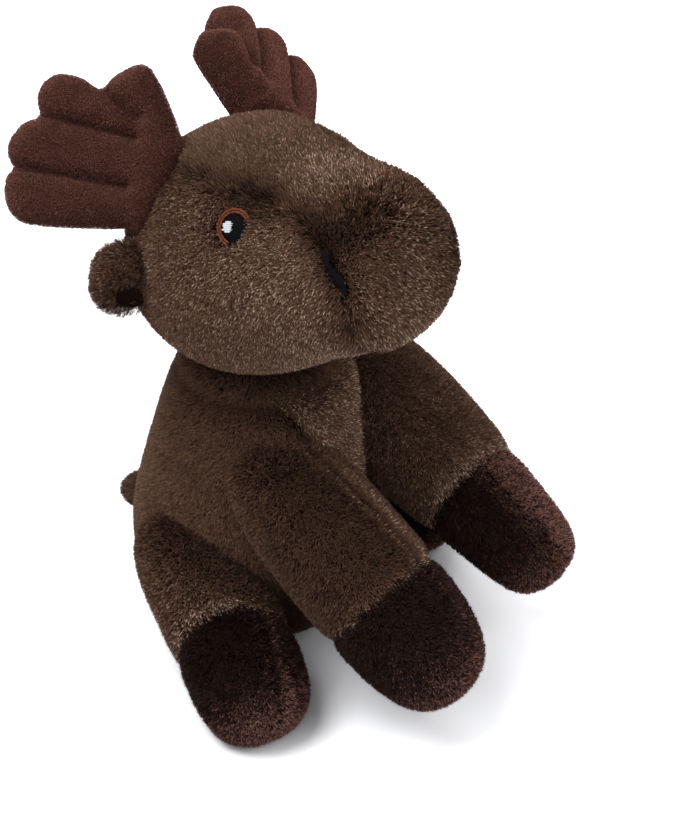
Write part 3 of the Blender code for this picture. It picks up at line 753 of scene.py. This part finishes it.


# each pile's root, middle and tip colours, the colour of its painted highlight at the tips, the share of
# strands with it, roughness and tone spread
PLUSH = pile_material(
    "brown_plush", (0.012, 0.006, 0.004), (0.090, 0.044, 0.027), (0.235, 0.130, 0.083),
    (0.59, 0.45, 0.34), 0.18, 0.55, 0.9)
HOOF_PLUSH = pile_material(
    "hoof_plush", (0.003, 0.0016, 0.0015), (0.013, 0.0068, 0.0060), (0.050, 0.0240, 0.0195),
    (0.20, 0.098, 0.078), 0.08, 0.60, 0.9)
VELOUR = pile_material(
    "antler_velour", (0.045, 0.016, 0.012), (0.126, 0.047, 0.035), (0.230, 0.096, 0.071),
    (0.38, 0.19, 0.14), 0.10, 0.70, 0.7)
BACKING = backing_material("plush_backing", (0.008, 0.004, 0.003), (0.020, 0.011, 0.007))
HOOF_BACKING = backing_material("hoof_backing", (0.004, 0.002, 0.002), (0.010, 0.005, 0.004))
VELOUR_BACKING = backing_material("velour_backing", (0.050, 0.018, 0.013), (0.100, 0.038, 0.028), 2000.0)
BLACK_THREAD = thread_material("black_thread", (0.0015, 0.0015, 0.002), (0.007, 0.007, 0.009), 0.6)
WHITE_THREAD = thread_material("white_thread", (0.62, 0.66, 0.72), (0.86, 0.88, 0.92), 0.45)
RUST_THREAD = thread_material("rust_thread", (0.11, 0.028, 0.012), (0.29, 0.090, 0.044), 0.55)


# Camera, light and floor
def stage():
    """A pale floor under soft studio light, seen from the photograph's place."""
    scene = bpy.context.scene
    scene.view_settings.view_transform = "Standard"
    back = toward(CAMERA_AZIMUTH, CAMERA_ELEVATION)
    camera = link(bpy.data.objects.new("camera", bpy.data.cameras.new("camera")))
    camera.data.sensor_fit = "VERTICAL"
    camera.data.sensor_height = FILM_HEIGHT
    camera.data.lens = CAMERA_LENS
    camera.data.clip_start = 0.01
    camera.location = CAMERA_TARGET + back * CAMERA_DISTANCE
    camera.rotation_euler = back.to_track_quat("Z", "Y").to_euler()
    scene.camera = camera

    for name, (azimuth, elevation, distance, size, power) in LAMPS.items():
        data = bpy.data.lights.new(name, "AREA")
        data.shape = "DISK"
        data.size = size
        data.energy = power
        lamp = link(bpy.data.objects.new(name, data))
        out = toward(azimuth, elevation)
        lamp.location = out * distance + LAMP_TARGET
        lamp.rotation_euler = out.to_track_quat("Z", "Y").to_euler()

    world = scene.world or bpy.data.worlds.new("world")
    scene.world = world
    world.use_nodes = True
    tree = world.node_tree
    tree.nodes.clear()
    path = node(tree, "ShaderNodeLightPath")
    seen = maths(tree, "MAXIMUM", path.outputs["Is Camera Ray"], path.outputs["Is Glossy Ray"])
    seen = maths(tree, "MAXIMUM", seen, path.outputs["Is Transmission Ray"])
    strength = maths(tree, "MULTIPLY_ADD", seen, 1.0 - WORLD_LIGHT, WORLD_LIGHT)
    ground = node(tree, "ShaderNodeBackground", {"Color": (1, 1, 1, 1), "Strength": strength})
    node(tree, "ShaderNodeOutputWorld", {"Surface": ground.outputs[0]})

    bm = bmesh.new()
    bmesh.ops.create_grid(bm, x_segments=1, y_segments=1, size=3.0)
    paper, tree, shader = material("studio_floor", 0.9, 0.5)
    # the camera sees the sweep over-lit, as in the photograph, while it lights the toy as plain paper does;
    # close under the toy the sweep's own shadow stays deep
    by_camera = node(tree, "ShaderNodeLightPath").outputs["Is Camera Ray"]
    # painted shadow: the Ambient Occlusion node darkens the floor that the camera sees close under the toy
    open_sky = node(tree, "ShaderNodeAmbientOcclusion", {"Distance": CONTACT_REACH}).outputs["AO"]
    sockets = {"Value": open_sky, "From Min": 0.05, "From Max": 0.50, "To Min": CONTACT_TONE}
    deep = node(tree, "ShaderNodeMapRange", sockets).outputs[0]
    over_lit = vectors(tree, "SCALE", FLOOR_SEEN, deep)
    tree.links.new(blended(tree, by_camera, FLOOR_LIT, over_lit), shader.inputs["Base Color"])
    mesh_piece("studio_floor", bm, paper)


stage()


# Torso
def off_panel(point, normal):
    """How far a point of the torso lies outside the chest panel's seam."""
    (low, foot), (high, throat) = CHEST_LOW, CHEST_HIGH
    share = clamp((point.z - foot) / (throat - foot), -1.0, 1.3)
    return abs(point.x) - low - (high - low) * share if normal.y < 0.2 else 1.0


rings = [
    [height * TORSO_HEIGHT, shift * TORSO_LEAN, width * TORSO_HALF_WIDTH - BODY_DEPTH,
     depth * TORSO_HALF_DEPTH - BODY_DEPTH] for height, shift, width, depth in TORSO_RINGS]
rings[-1][0] -= BODY_DEPTH
torso = lofted("torso_cloth", rings, TORSO_SIDES, TOY, BACKING)
# it is flat where it sits
for vertex in torso.data.vertices:
    vertex.co.z = max(vertex.co.z, FLOOR_SKIN)
for vertex in torso.data.vertices:
    vertex.co -= vertex.normal * CHEST_SEAM * bump(off_panel(vertex.co, vertex.normal), 1.5 * MM)
torso.data.update()


# Legs
def leg_loft(kind, side_name, side):
    """A leg's form from inside the torso to the tip of the hoof, and its own matrix and length."""
    form = LEG_FORMS[kind, side_name]
    *ends, radius = LEG_KINDS[kind]
    start, tip = (mirrored(end, side) + Vector(shift) * MM for end, shift in zip(ends, form["shift"]))
    radius *= form["full"]
    length = (tip - start).length
    matrix = TOY @ Matrix.Translation(start) @ (tip - start).to_track_quat("Z", "Y").to_matrix().to_4x4()
    rings = []
    for along, share in form["rings"]:
        inset = BODY_DEPTH + (HOOF_DEPTH - BODY_DEPTH) * clamp((along - 0.6) / 0.1)
        rings.append([along * length, 0, share * radius - inset, share * radius - inset])
    rings[-1][0] -= HOOF_DEPTH
    obj = lofted(f"{kind}_{side_name}", rings, LEG_SIDES, matrix)
    if kind == "hind":
        drop = min(v.co.z for v in obj.data.vertices) + SEAT_PRESS
        for vertex in obj.data.vertices:
            vertex.co.z = max(vertex.co.z - drop, FLOOR_SKIN)
    return obj, matrix, length


def cut_at(obj, name, spot, way, finish):
    """The part of a form on the far side of a plane, closed at the plane."""
    bm = bmesh.new()
    bm.from_mesh(obj.data)
    everything = [*bm.verts, *bm.edges, *bm.faces]
    bmesh.ops.bisect_plane(bm, geom=everything, dist=1e-7, plane_co=spot, plane_no=way, clear_inner=True)
    bmesh.ops.holes_fill(bm, edges=[e for e in bm.edges if e.is_boundary], sides=0)
    return mesh_piece(name, bm, finish)


def top_of(axis):
    """The direction across a leg's axis that points most nearly up."""
    up = Vector((0, 0, 1))
    return (up - up.dot(axis) * axis).normalized()


LEGS = {}
for side_name, side in SIDES:
    for kind in ("front", "hind"):
        whole, matrix, length = leg_loft(kind, side_name, side)
        axis = (matrix.to_3x3() @ Vector((0, 0, 1))).normalized()
        start = matrix.translation.copy()
        share, to_top, to_right = LEG_FORMS[kind, side_name]["hoof"]
        seam = start + axis * length * share
        top = top_of(axis)
        way = (axis + top * to_top + axis.cross(top) * to_right).normalized()
        for vertex in whole.data.vertices:
            along = (vertex.co - seam).dot(way)
            foot = start + axis * (vertex.co - start).dot(axis)
            vertex.co -= (vertex.co - foot).normalized() * SEAM_PINCH * bump(along, SEAM_WIDTH)
        LEGS[kind, side_name] = (whole, start, axis, length, seam, way)

# Head
HEAD_FRAME = Matrix.Translation(NECK + Vector((0, 0, HEAD_RISE)))
HEAD_FRAME @= Matrix.Rotation(math.radians(HEAD_TURN), 4, "Z")
HEAD_FRAME @= Matrix.Rotation(-math.radians(HEAD_LIFT), 4, "X")
TO_HEAD = HEAD_FRAME.inverted()
HEAD_AXES = HEAD_FRAME.to_3x3()


def head_loft(name, inset, finish=None):
    """The skull and muzzle, with rings stacked from the back of the skull forward."""
    rings = [
        [along * HEAD_LENGTH - HEAD_BACK, rise * SKULL, width * SKULL - inset, height * SKULL - inset]
        for along, rise, width, height in HEAD_RINGS]
    rings[0][0] += inset
    rings[-1][0] -= inset
    return lofted(name, rings, HEAD_SIDES, HEAD_FRAME @ Matrix.Rotation(math.radians(90), 4, "X"), finish)


def seam_at(spot):
    """For a point in the head's axes: how far it lies outside the gusset's seam, negative on the gusset
    itself, the way from the seam to it along the skin, and how deep the seam is drawn in beside it."""
    here = folded(spot)
    found = []
    for (start, shallow), (end, deep) in zip(GUSSET_SEAM, GUSSET_SEAM[1:]):
        start, end = Vector(start) * MM, Vector(end) * MM
        run = end - start
        share = share_of(here, start, run)
        foot = start + run * share
        found.append(((here - foot).length, foot, run, (shallow + (deep - shallow) * share) * MM))
    length, foot, run, depth = min(found, key=lambda each: each[0])
    out = foot - Vector((0, clamp(foot.y, -30 * MM, 10 * MM), 2 * MM))
    way = out.cross(run).normalized()
    side = 1.0 if (here - foot).dot(way) > 0 else -1.0
    way.x *= math.copysign(1.0, spot.x)
    return length * side, way * side, depth


def from_embroidery(spot):
    """How far a point of the head lies outside the nearest eye or nostril."""
    here = folded(spot)
    eye = (Vector(EYE_PLACE) * EYE_OUT - here).length - EYE_CLEAR
    upper, lower = (Vector(end) for end in NOSTRIL_LINE)
    return min(eye, near_segment(here, upper, lower) - NOSTRIL_HALF_WIDTH * 0.8)


def head_look(point, normal):
    """The pile parts at the gusset's seam. It is short and upright on the cheeks, longer on the gusset, and
    darkest beside the nostrils and in the crease over the eye, where shade is painted."""
    spot = TO_HEAD @ point
    away, way, depth = seam_at(spot)
    part = way * 0.75 * bump(away, 5.0 * MM) * min(depth / MM, 1.2)
    if away > 0:
        lean = Vector((0.0, 0.05, -0.10)) + part
        length, shade = 0.85, 1.10 - 0.15 * ramp(spot.y, -25 * MM, 0.0)
    else:
        front = ramp(-spot.y, 28 * MM, 40 * MM)
        lean = Vector((0.0, 0.20, 0.05)).lerp(Vector((0.0, 0.0, -0.25)), front) + part
        length, shade = 1.0, 0.90 + 0.23 * ramp(-spot.y, 8 * MM, 36 * MM)
    shade -= 0.25 * bump(away, 2.0 * MM)
    # painted shade beside the nostrils and in the crease over the eye
    for dark, shadow in SHADED_PLACES:
        shade *= shaded((folded(spot) - Vector(dark) * MM).length, shadow)
    out = from_embroidery(spot)
    length *= shaded(out, SHORTER)
    return HEAD_AXES @ lean, 0.0 if out < 0.0 else 1.0, length, max(shade, DARKEST)


head = head_loft("head_cloth", BODY_DEPTH, BACKING)
seams = [seam_at(TO_HEAD @ vertex.co) for vertex in head.data.vertices]
for vertex, (away, way, depth) in zip(head.data.vertices, seams):
    vertex.co -= vertex.normal * depth * bump(away, SEAM_REACH)
head.data.update()
paint(head, head_look)
in_head = inside(1.5 * MM, head)
in_torso = inside(1.5 * MM, torso)
from_head = outside(head)
from_torso = outside(torso)


# Skins and piles of the body
def torso_look(point, normal):
    """Lighter on the chest panel, which has a drawn seam on either side; shorter under the seat."""
    panel = off_panel(point, normal)
    shade = TORSO_SHADE + (CHEST_LIGHTER if panel < 0 else 0.0)
    shade *= 1.0 - 0.40 * bump(panel, 0.9 * MM) + 0.12 * bump(abs(panel) - 2.0 * MM, 0.9 * MM)
    if panel > 0:
        # the shoulders are in the head's shade
        shade *= shaded(from_head(point), HEAD_SHADOW)
    # the belly between the legs is in its own shade
    low = ramp(-point.z, -32 * MM, -20 * MM)
    shade *= 1.0 - BELLY_SHADOW * low * ramp(MIDDLE - point.y, 0.0, CHEST_PLACE)
    part = math.copysign(0.3 * bump(panel, 2.0 * MM), point.x * panel)
    bare = in_head(point) or point.z < 1.0 * MM
    length = min(0.75 if normal.z < -0.6 else 1.0, above_floor(point, normal, PLUSH_LENGTH))
    return (part, 0.0, -0.16), 0.0 if bare else 1.0, length, shade


paint(torso, torso_look)
stuffed(torso, "torso", "plush", 0.85, "torso_skin", "torso_stuffing", "pellet_bag")
chest = MIDDLE - CHEST_PLACE
for part, keep, seed in (
    ("right", lambda c: c.x < 0 and c.y > chest, 16), ("left", lambda c: c.x >= 0 and c.y > chest, 15),
    ("chest", lambda c: c.y <= chest, 16),
):
    worn("torso", grow(f"torso_pile_{part}", torso, PLUSH, "plush", seed, keep))

bm = bmesh.new()
bmesh.ops.create_uvsphere(bm, u_segments=24, v_segments=14, radius=NECK_RADIUS)
place = Matrix.Translation(NECK + Vector((0, 0, NECK_RISE))) @ Matrix.Diagonal((1, 1, NECK_STRETCH, 1))
bmesh.ops.transform(bm, matrix=place, verts=bm.verts)
neck = mesh_piece("neck_roll", in_order(bm), BACKING)
paint(neck, plainly((0, 0, -0.3), inside(2.5 * MM, head, torso), 0.8))
stuffed(neck, "neck", "plush", 0.9, "neck_plug")
worn("neck", grow("neck_pile", neck, PLUSH, "neck", 5))

stuffed(head, "head", "plush", 0.9, "head_skin", "head_stuffing")


def in_gusset(centre):
    """Whether a face of the head belongs to the gusset."""
    return seam_at(TO_HEAD @ centre)[0] <= 0


for part, keep, kind, seed in (
    ("gusset", in_gusset, "gusset", 16),
    ("right", lambda c: not in_gusset(c) and (TO_HEAD @ c).x < 0, "cheek", 15),
    ("left", lambda c: not in_gusset(c) and (TO_HEAD @ c).x >= 0, "cheek", 14),
):
    worn("head", grow(f"head_pile_{part}", head, PLUSH, kind, seed, keep))

from_front_legs = outside(LEGS["front", "right"][0], LEGS["front", "left"][0])


def crease_shade(point, kind):
    """How light a hind leg's pile is under the painted shade beside the crease under the torso and the front
    leg.
    """
    if kind == "front":
        return 1.0
    forward = ramp(MIDDLE - point.y, -12 * MM, 6 * MM)
    under_body = shaded(from_torso(point), BODY_CREASE_SHADE, forward)
    return under_body * shaded(from_front_legs(point), LEG_CREASE_SHADE)


for (kind, side_name), (whole, start, axis, length, seam, way) in LEGS.items():
    body = f"{kind}_leg_{side_name}"
    side = dict(SIDES)[side_name]
    top = top_of(axis)
    at_hip, at_hoof, on_leg, on_hoof = LEG_FORMS[kind, side_name]["ridge"]
    leg_shade, inner, outer = LEG_FORMS[kind, side_name]["shade"]

    def from_seam(point):
        """Signed distance round the leg from its ridge seam, over it on the toy's right."""
        out = point - start
        share = out.dot(axis) / length
        out -= out.dot(axis) * axis
        ridge = math.radians(at_hip + (at_hoof - at_hip) * share)
        turn = math.atan2(out.dot(axis.cross(top)), out.dot(top)) - ridge
        return out.length * ((turn + math.pi) % math.tau - math.pi)

    def hidden(point, normal):
        """Whether a point lies on the cut between leg and hoof, or on the floor."""
        cap = abs((point - seam).dot(way)) < 0.1 * MM and abs(normal.dot(way)) > 0.8
        return cap or point.z < 0.8 * MM

    def leg_look(point, normal):
        """The pile parts at the ridge seam between two light ridges, and ends in a light fringe at the
        hoof."""
        aside, along = from_seam(point), (point - seam).dot(way)
        # near the hip the leg goes over into the torso without a seam
        own = clamp(((point - start).dot(axis) / length - 0.10) / 0.25)
        part = math.copysign(0.7 * on_leg * bump(aside, 2.6 * MM), aside) * own
        ridge = 0.50 * bump(abs(aside) - 1.9 * MM, 0.9 * MM) - 0.30 * bump(aside, 0.9 * MM)
        shade = leg_shade + on_leg * ridge + 0.50 * bump(along + 0.3 * MM, 1.4 * MM)
        # blended into the torso near the hip, and darkened by painted shade in a hind leg's crease
        shade = (HIP_SHADE + (shade - HIP_SHADE) * own) * crease_shade(point, kind)
        lean = axis * (0.14 + 0.5 * bump(along, 1.5 * MM)) + axis.cross(top) * part
        bare = in_torso(point) or hidden(point, normal)
        return lean, 0.0 if bare else 1.0, above_floor(point, normal, PLUSH_LENGTH), shade

    def hoof_look(point, normal):
        """Lighter towards the tip and along its ridge seam, and on either side as its own shades say. The
        pile is longer at the tip."""
        aside, along = from_seam(point), (point - seam).dot(way)
        part = axis.cross(top) * math.copysign(0.7 * on_hoof * bump(aside, 2.4 * MM), aside)
        shade = 0.80 + 0.8 * max(0.0, along / length - 0.12)
        shade += 0.8 * on_hoof * bump(abs(aside) - 1.4 * MM, 0.9 * MM)
        toe = ramp((point - start).dot(axis) / length, 0.84, 1.0)
        shade += 0.7 * toe
        # from the seam outwards, but not as far round as the sole
        beyond = ramp(-aside * side, -0.8 * MM, 0.8 * MM) * (1.0 - ramp(abs(aside), 20 * MM, 32 * MM))
        # the sides' own shades, capped, and the painted shade in a hind leg's crease
        shade = min(shade * (inner + (outer - inner) * beyond), HOOF_LIGHTEST) * crease_shade(point, kind)
        longer = min(1.0 + 0.42 * toe, above_floor(point, normal, HOOF_LENGTH))
        return axis * 0.2 + part, 0.0 if hidden(point, normal) else 1.0, longer, shade

    for vertex in whole.data.vertices:
        along = (vertex.co - start).dot(axis)
        strong = on_leg if (vertex.co - seam).dot(way) < 0 else on_hoof
        notch = SEAM_NOTCH * strong * bump(from_seam(vertex.co), 1.5 * MM)
        vertex.co -= (vertex.co - start - axis * along) * notch
    near = cut_at(whole, f"{kind}_leg_{side_name}_cloth", seam, -way, BACKING)
    far = cut_at(whole, f"{kind}_hoof_{side_name}_cloth", seam, way, HOOF_BACKING)
    bpy.data.objects.remove(whole)
    paint(near, leg_look)
    paint(far, hoof_look)
    pile = grow(f"{kind}_leg_{side_name}_pile", near, PLUSH, "plush", 21)
    hoof_pile = grow(f"{kind}_hoof_{side_name}_pile", far, HOOF_PLUSH, "hoof", 22)
    for piece in (near, pile):
        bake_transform(piece)
    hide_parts(f"{body}_skin", f"{body}_stuffing")
    stuffed(far, body, "hoof_plush", 0.85, f"{kind}_hoof_{side_name}")
    worn(body, hoof_pile)


# Antlers
def outline_points():
    """The antler's outline as a dense closed line in its palm plane, with outward normals."""
    corners = [Vector(corner) * MM for corner in ANTLER_OUTLINE]
    points = []
    for number, corner in enumerate(corners):
        before, after = corners[number - 1], corners[(number + 1) % len(corners)]
        beyond = corners[(number + 2) % len(corners)]
        for step in range(OUTLINE_STEPS):
            t = step / OUTLINE_STEPS
            points.append(0.5 * (
                2 * corner + (after - before) * t + (2 * before - 5 * corner + 4 * after - beyond) * t ** 2
                + (3 * corner - before - 3 * after + beyond) * t ** 3))
    outward = []
    for number, point in enumerate(points):
        run = points[(number + 1) % len(points)] - points[number - 1]
        outward.append(Vector((-run.y, run.x)).normalized())
    return points, outward


def antler_form(name, thickness, place):
    """A stuffed palm: a grid trimmed to the outline, thickened, and swollen between rim and grooves."""
    points, outward = outline_points()
    tree = kdtree.KDTree(len(points))
    for number, point in enumerate(points):
        tree.insert((*point, 0), number)
    tree.balance()
    bm = bmesh.new()
    cells = round(2 * PALM_REACH / ANTLER_CELL)
    bmesh.ops.create_grid(bm, x_segments=cells, y_segments=cells, size=PALM_REACH)
    bmesh.ops.translate(bm, vec=(0, PALM_MIDDLE, 0), verts=bm.verts)
    depth = {}
    out = []
    for vertex in bm.verts:
        spot, number, _ = tree.find(vertex.co)
        gap = (vertex.co - spot).xy
        depth[vertex] = gap.length if gap.dot(outward[number]) < 0 else -gap.length
        if depth[vertex] < ANTLER_CELL * 0.45:
            out.append(vertex)
    bmesh.ops.delete(bm, geom=out, context="VERTS")
    bmesh.ops.delete(bm, geom=[v for v in bm.verts if not v.link_faces], context="VERTS")
    for vertex in bm.verts:
        if any(edge.is_boundary for edge in vertex.link_edges):
            vertex.co = tree.find(vertex.co)[0]
    bmesh.ops.solidify(bm, geom=bm.faces[:], thickness=RIM)
    grooves = [[Vector(end) * MM for end in groove] for groove in ANTLER_GROOVES]
    heights = sum(v.co.z for v in bm.verts) / len(bm.verts)
    for vertex in bm.verts:
        spot, number, _ = tree.find((*vertex.co.xy, 0))
        rise = min((vertex.co.xy - spot.xy).length / LOBE_ROUND, 1.0)
        height = RIM + thickness * math.sqrt(1.0 - (1.0 - rise) ** 2)
        for start, end in grooves:
            height *= 1.0 - GROOVE_SHARE * bump(near_segment(vertex.co.xy, start, end), GROOVE_WIDTH)
        front = 1.0 if vertex.co.z > heights else -1.0
        # the palm is cupped a little, like a hand
        vertex.co.z = front * height + PALM_CUP * (vertex.co.y / PALM_REACH) ** 2
    bmesh.ops.transform(bm, matrix=place, verts=bm.verts)
    return rounded(mesh_piece(name, in_order(bm), VELOUR_BACKING), 1)


# the palm's own X stays along the seam, its Y becomes out of the head and its Z the palm's normal
PALM_TURN = Matrix(((1, 0, 0, 0), (0, 0, 1, 0), (0, 1, 0, 0), (0, 0, 0, 1)))
for side_name, side in SIDES:
    body = f"antler_{side_name}"
    spot = JOINTS[f"{body}_fold"]
    seam = HEAD_AXES @ mirrored(ANTLER_SEAM_DIRECTION, side)
    out = HEAD_AXES @ mirrored(ANTLER_OUT_DIRECTION, side)
    along, lift = ANTLER_SHIFT[side_name]
    palm = Matrix.Translation(spot) @ upright(out, seam) @ Matrix.Translation((along, 0, lift)) @ PALM_TURN
    antler = antler_form(f"{body}_cloth", ANTLER_THICKNESS[side_name], palm)
    paint(antler, plainly(out * 0.2, in_head, 1.0))
    stuffed(antler, body, "velour", 0.8, f"{body}_skin", f"{body}_stuffing")
    worn(body, grow(f"{body}_pile", antler, VELOUR, "antler", 31))

# Ears
for side_name, side in SIDES:
    body = f"ear_{side_name}"
    spot = JOINTS[f"{body}_fold"]
    wide = HEAD_AXES @ mirrored(EAR_WIDE_DIRECTION, side)
    turn = upright(HEAD_AXES @ mirrored(EAR_OUT_DIRECTION, side), wide)
    ear_frame = Matrix.Translation(spot) @ turn @ Matrix.Translation((0, 0, -EAR_SINK))
    reach = EAR_LENGTH + EAR_SINK
    rings = [(a * reach, 0, w * EAR_HALF_WIDTH, t * EAR_HALF_THICKNESS) for a, w, t in EAR_RINGS]
    ear = lofted(f"{body}_cloth", rings, EAR_SIDES, ear_frame, BACKING)
    front = HEAD_AXES @ Vector((0, -1, 0))
    face = turn.col[1].xyz * (1 if turn.col[1].xyz.dot(front) > 0 else -1)
    # the dark hollow lies low and close to the head
    heart = ear_frame @ Vector((-0.40 * EAR_HALF_WIDTH, 0, 0.30 * reach)) + face * EAR_HALF_THICKNESS
    for vertex in ear.data.vertices:
        if vertex.normal.dot(face) > 0:
            vertex.co -= face * EAR_HOLLOW * bump((vertex.co - heart).length, EAR_HOLLOW_WIDTH)
    ear.data.update()

    def in_hollow(centre):
        """Whether a face of the ear lies in its hollow, where the pile is darker."""
        return (centre - heart).length < EAR_HOLLOW_WIDTH

    paint(ear, plainly(turn.col[2].xyz * 0.5, in_head, 0.95))
    pile = grow(f"{body}_pile", ear, PLUSH, "ear", 41, lambda c: not in_hollow(c))
    # the hollow gets the darker hoof plush
    lining = grow(f"{body}_inner_pile", ear, HOOF_PLUSH, "ear_hollow", 42, in_hollow)
    stuffed(ear, body, "plush", 0.7, body)
    worn(body, pile)
    worn(body, lining)
    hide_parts(f"{body}_lining")

# Tail
rings = [(a * TAIL_LENGTH, 0, r * TAIL_RADIUS, r * TAIL_RADIUS) for a, r in TAIL_RINGS]
spot = JOINTS["tail_flick"] + Vector(TAIL_DROP)
place = Matrix.Translation(spot) @ upright(TAIL_OUT_DIRECTION, (1, 0, 0))
tail = lofted("tail_cloth", rings, TAIL_SIDES, place, BACKING)
paint(tail, plainly((0, 0.25, -0.42), in_torso, 0.7))
stuffed(tail, "tail", "plush", 0.7, "tail")
worn("tail", grow("tail_pile", tail, PLUSH, "tail", 51))

# Embroidery
head_form = head_loft("head_form", 0.0)
HEAD_SHAPE = tree_of(head_form)
bpy.data.objects.remove(head_form)


def on_head(origin, way):
    """Where a ray in the head's axes leaves the head, a little under the pile's tips, and the normal."""
    way = HEAD_AXES @ Vector(way).normalized()
    spot, normal, _, _ = HEAD_SHAPE.ray_cast(HEAD_FRAME @ Vector(origin), way)
    return spot - normal * STITCH_DEPTH, normal


def stitch(bm, points, radius):
    """A thread through the points, with rounded ends."""
    circles = []
    for number, point in enumerate(points):
        before, after = points[max(number - 1, 0)], points[min(number + 1, len(points) - 1)]
        turn = (after - before).to_track_quat("Z", "Y").to_matrix().to_4x4()
        end = number in (0, len(points) - 1)
        circles.append((Matrix.Translation(point) @ turn, radius * (0.55 if end else 1.0)))
    tube(bm, circles, 6)


def satin(name, place, radius, rise, pitch, slant, ragged, side, finish):
    """A round patch of satin stitch: threads side by side over a low dome, with ragged ends."""
    bm = bmesh.new()
    turn = place @ Matrix.Rotation(math.radians(slant * -side), 4, "Z")
    rows = math.floor(2 * radius / pitch)
    for row in range(rows + 1):
        across = (row - rows / 2) * pitch
        half = math.sqrt(max(radius ** 2 - across ** 2, 0.0)) * (1.0 - ragged * math.sin(row * 2.4))
        if half < pitch:
            continue
        points = []
        for step in range(9):
            along = half * (step / 4 - 1)
            height = rise * (1.0 - (along ** 2 + across ** 2) / radius ** 2)
            points.append(turn @ Vector((along, across, max(height, 0.0))))
        stitch(bm, points, pitch * 0.58)
    return mesh_piece(name, bm, finish)


def ring_stitch(name, place, side, finish):
    """Rows of short stitches that follow a ring."""
    bm = bmesh.new()
    first, last = RING_ENDS
    for radius in RING_RADII:
        count = round(math.radians(last - first) * radius / STITCH_LENGTH)
        for number in range(count):
            points = []
            for step in range(5):
                turn = math.radians(first + (last - first) * (number + step / 4 * 1.25) / count)
                flat = Vector((-side * math.cos(turn), math.sin(turn), 0)) * radius
                lift = THREAD * (0.4 + 0.7 * math.sin(math.pi * step / 4))
                points.append(place @ (flat + Vector((0, 0, lift))))
            stitch(bm, points, THREAD)
    return mesh_piece(name, bm, finish)


def nostril_stitch(name, side, finish):
    """A column of short stitches down the side of the muzzle."""
    bm = bmesh.new()
    upper, lower = NOSTRIL_ENDS
    for number in range(NOSTRIL_STITCHES):
        share = number / (NOSTRIL_STITCHES - 1)
        forward = upper[0] + (lower[0] - upper[0]) * share + NOSTRIL_SWAY * math.sin(math.tau * share)
        height = upper[1] + (lower[1] - upper[1]) * share
        spot, normal = on_head((0, forward, height), (side, 0, 0))
        across = (HEAD_AXES @ Vector(NOSTRIL_ACROSS)).normalized()
        across = (across - across.dot(normal) * normal).normalized()
        half = NOSTRIL_HALF_WIDTH * (1.0 + 0.22 * math.sin(number * 2.1))
        half *= 0.80 + 0.20 * math.cos(3 * math.pi * share)
        points = []
        for step in range(5):
            along = half * (step / 2 - 1)
            points.append(spot + across * along + normal * NOSTRIL_RISE * MM * (1 - (step / 2 - 1) ** 2))
        stitch(bm, points, THREAD * 1.15)
    return mesh_piece(name, bm, finish)


for side_name, side in SIDES:
    spot, normal = on_head((0, 0, 0), mirrored(EYE_PLACE, side))
    place = Matrix.Translation(spot) @ upright(normal, Vector((0, 0, 1)).cross(normal))
    stretched = place @ Matrix.Diagonal((EYE_STRETCH, 1, 1, 1))
    shine = place @ Matrix.Translation(mirrored(HIGHLIGHT_PLACE, side))
    pupil = satin(f"eye_{side_name}_pupil", stretched, *PUPIL, side, BLACK_THREAD)
    ring = ring_stitch(f"eye_{side_name}_ring", stretched, side, RUST_THREAD)
    highlight = satin(f"eye_{side_name}_highlight", shine, *HIGHLIGHT, side, WHITE_THREAD)
    nostril = nostril_stitch(f"nostril_stitches_{side_name}", side, BLACK_THREAD)
    for piece, node_name, slot in (
        (pupil, "eye_pupil", "black_thread"), (ring, "eye_ring", "rust_thread"),
        (highlight, "eye_highlight", "white_thread"), (nostril, "nostril", "black_thread"),
    ):
        worn("head", piece)
        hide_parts(f"{node_name}_{side_name}")
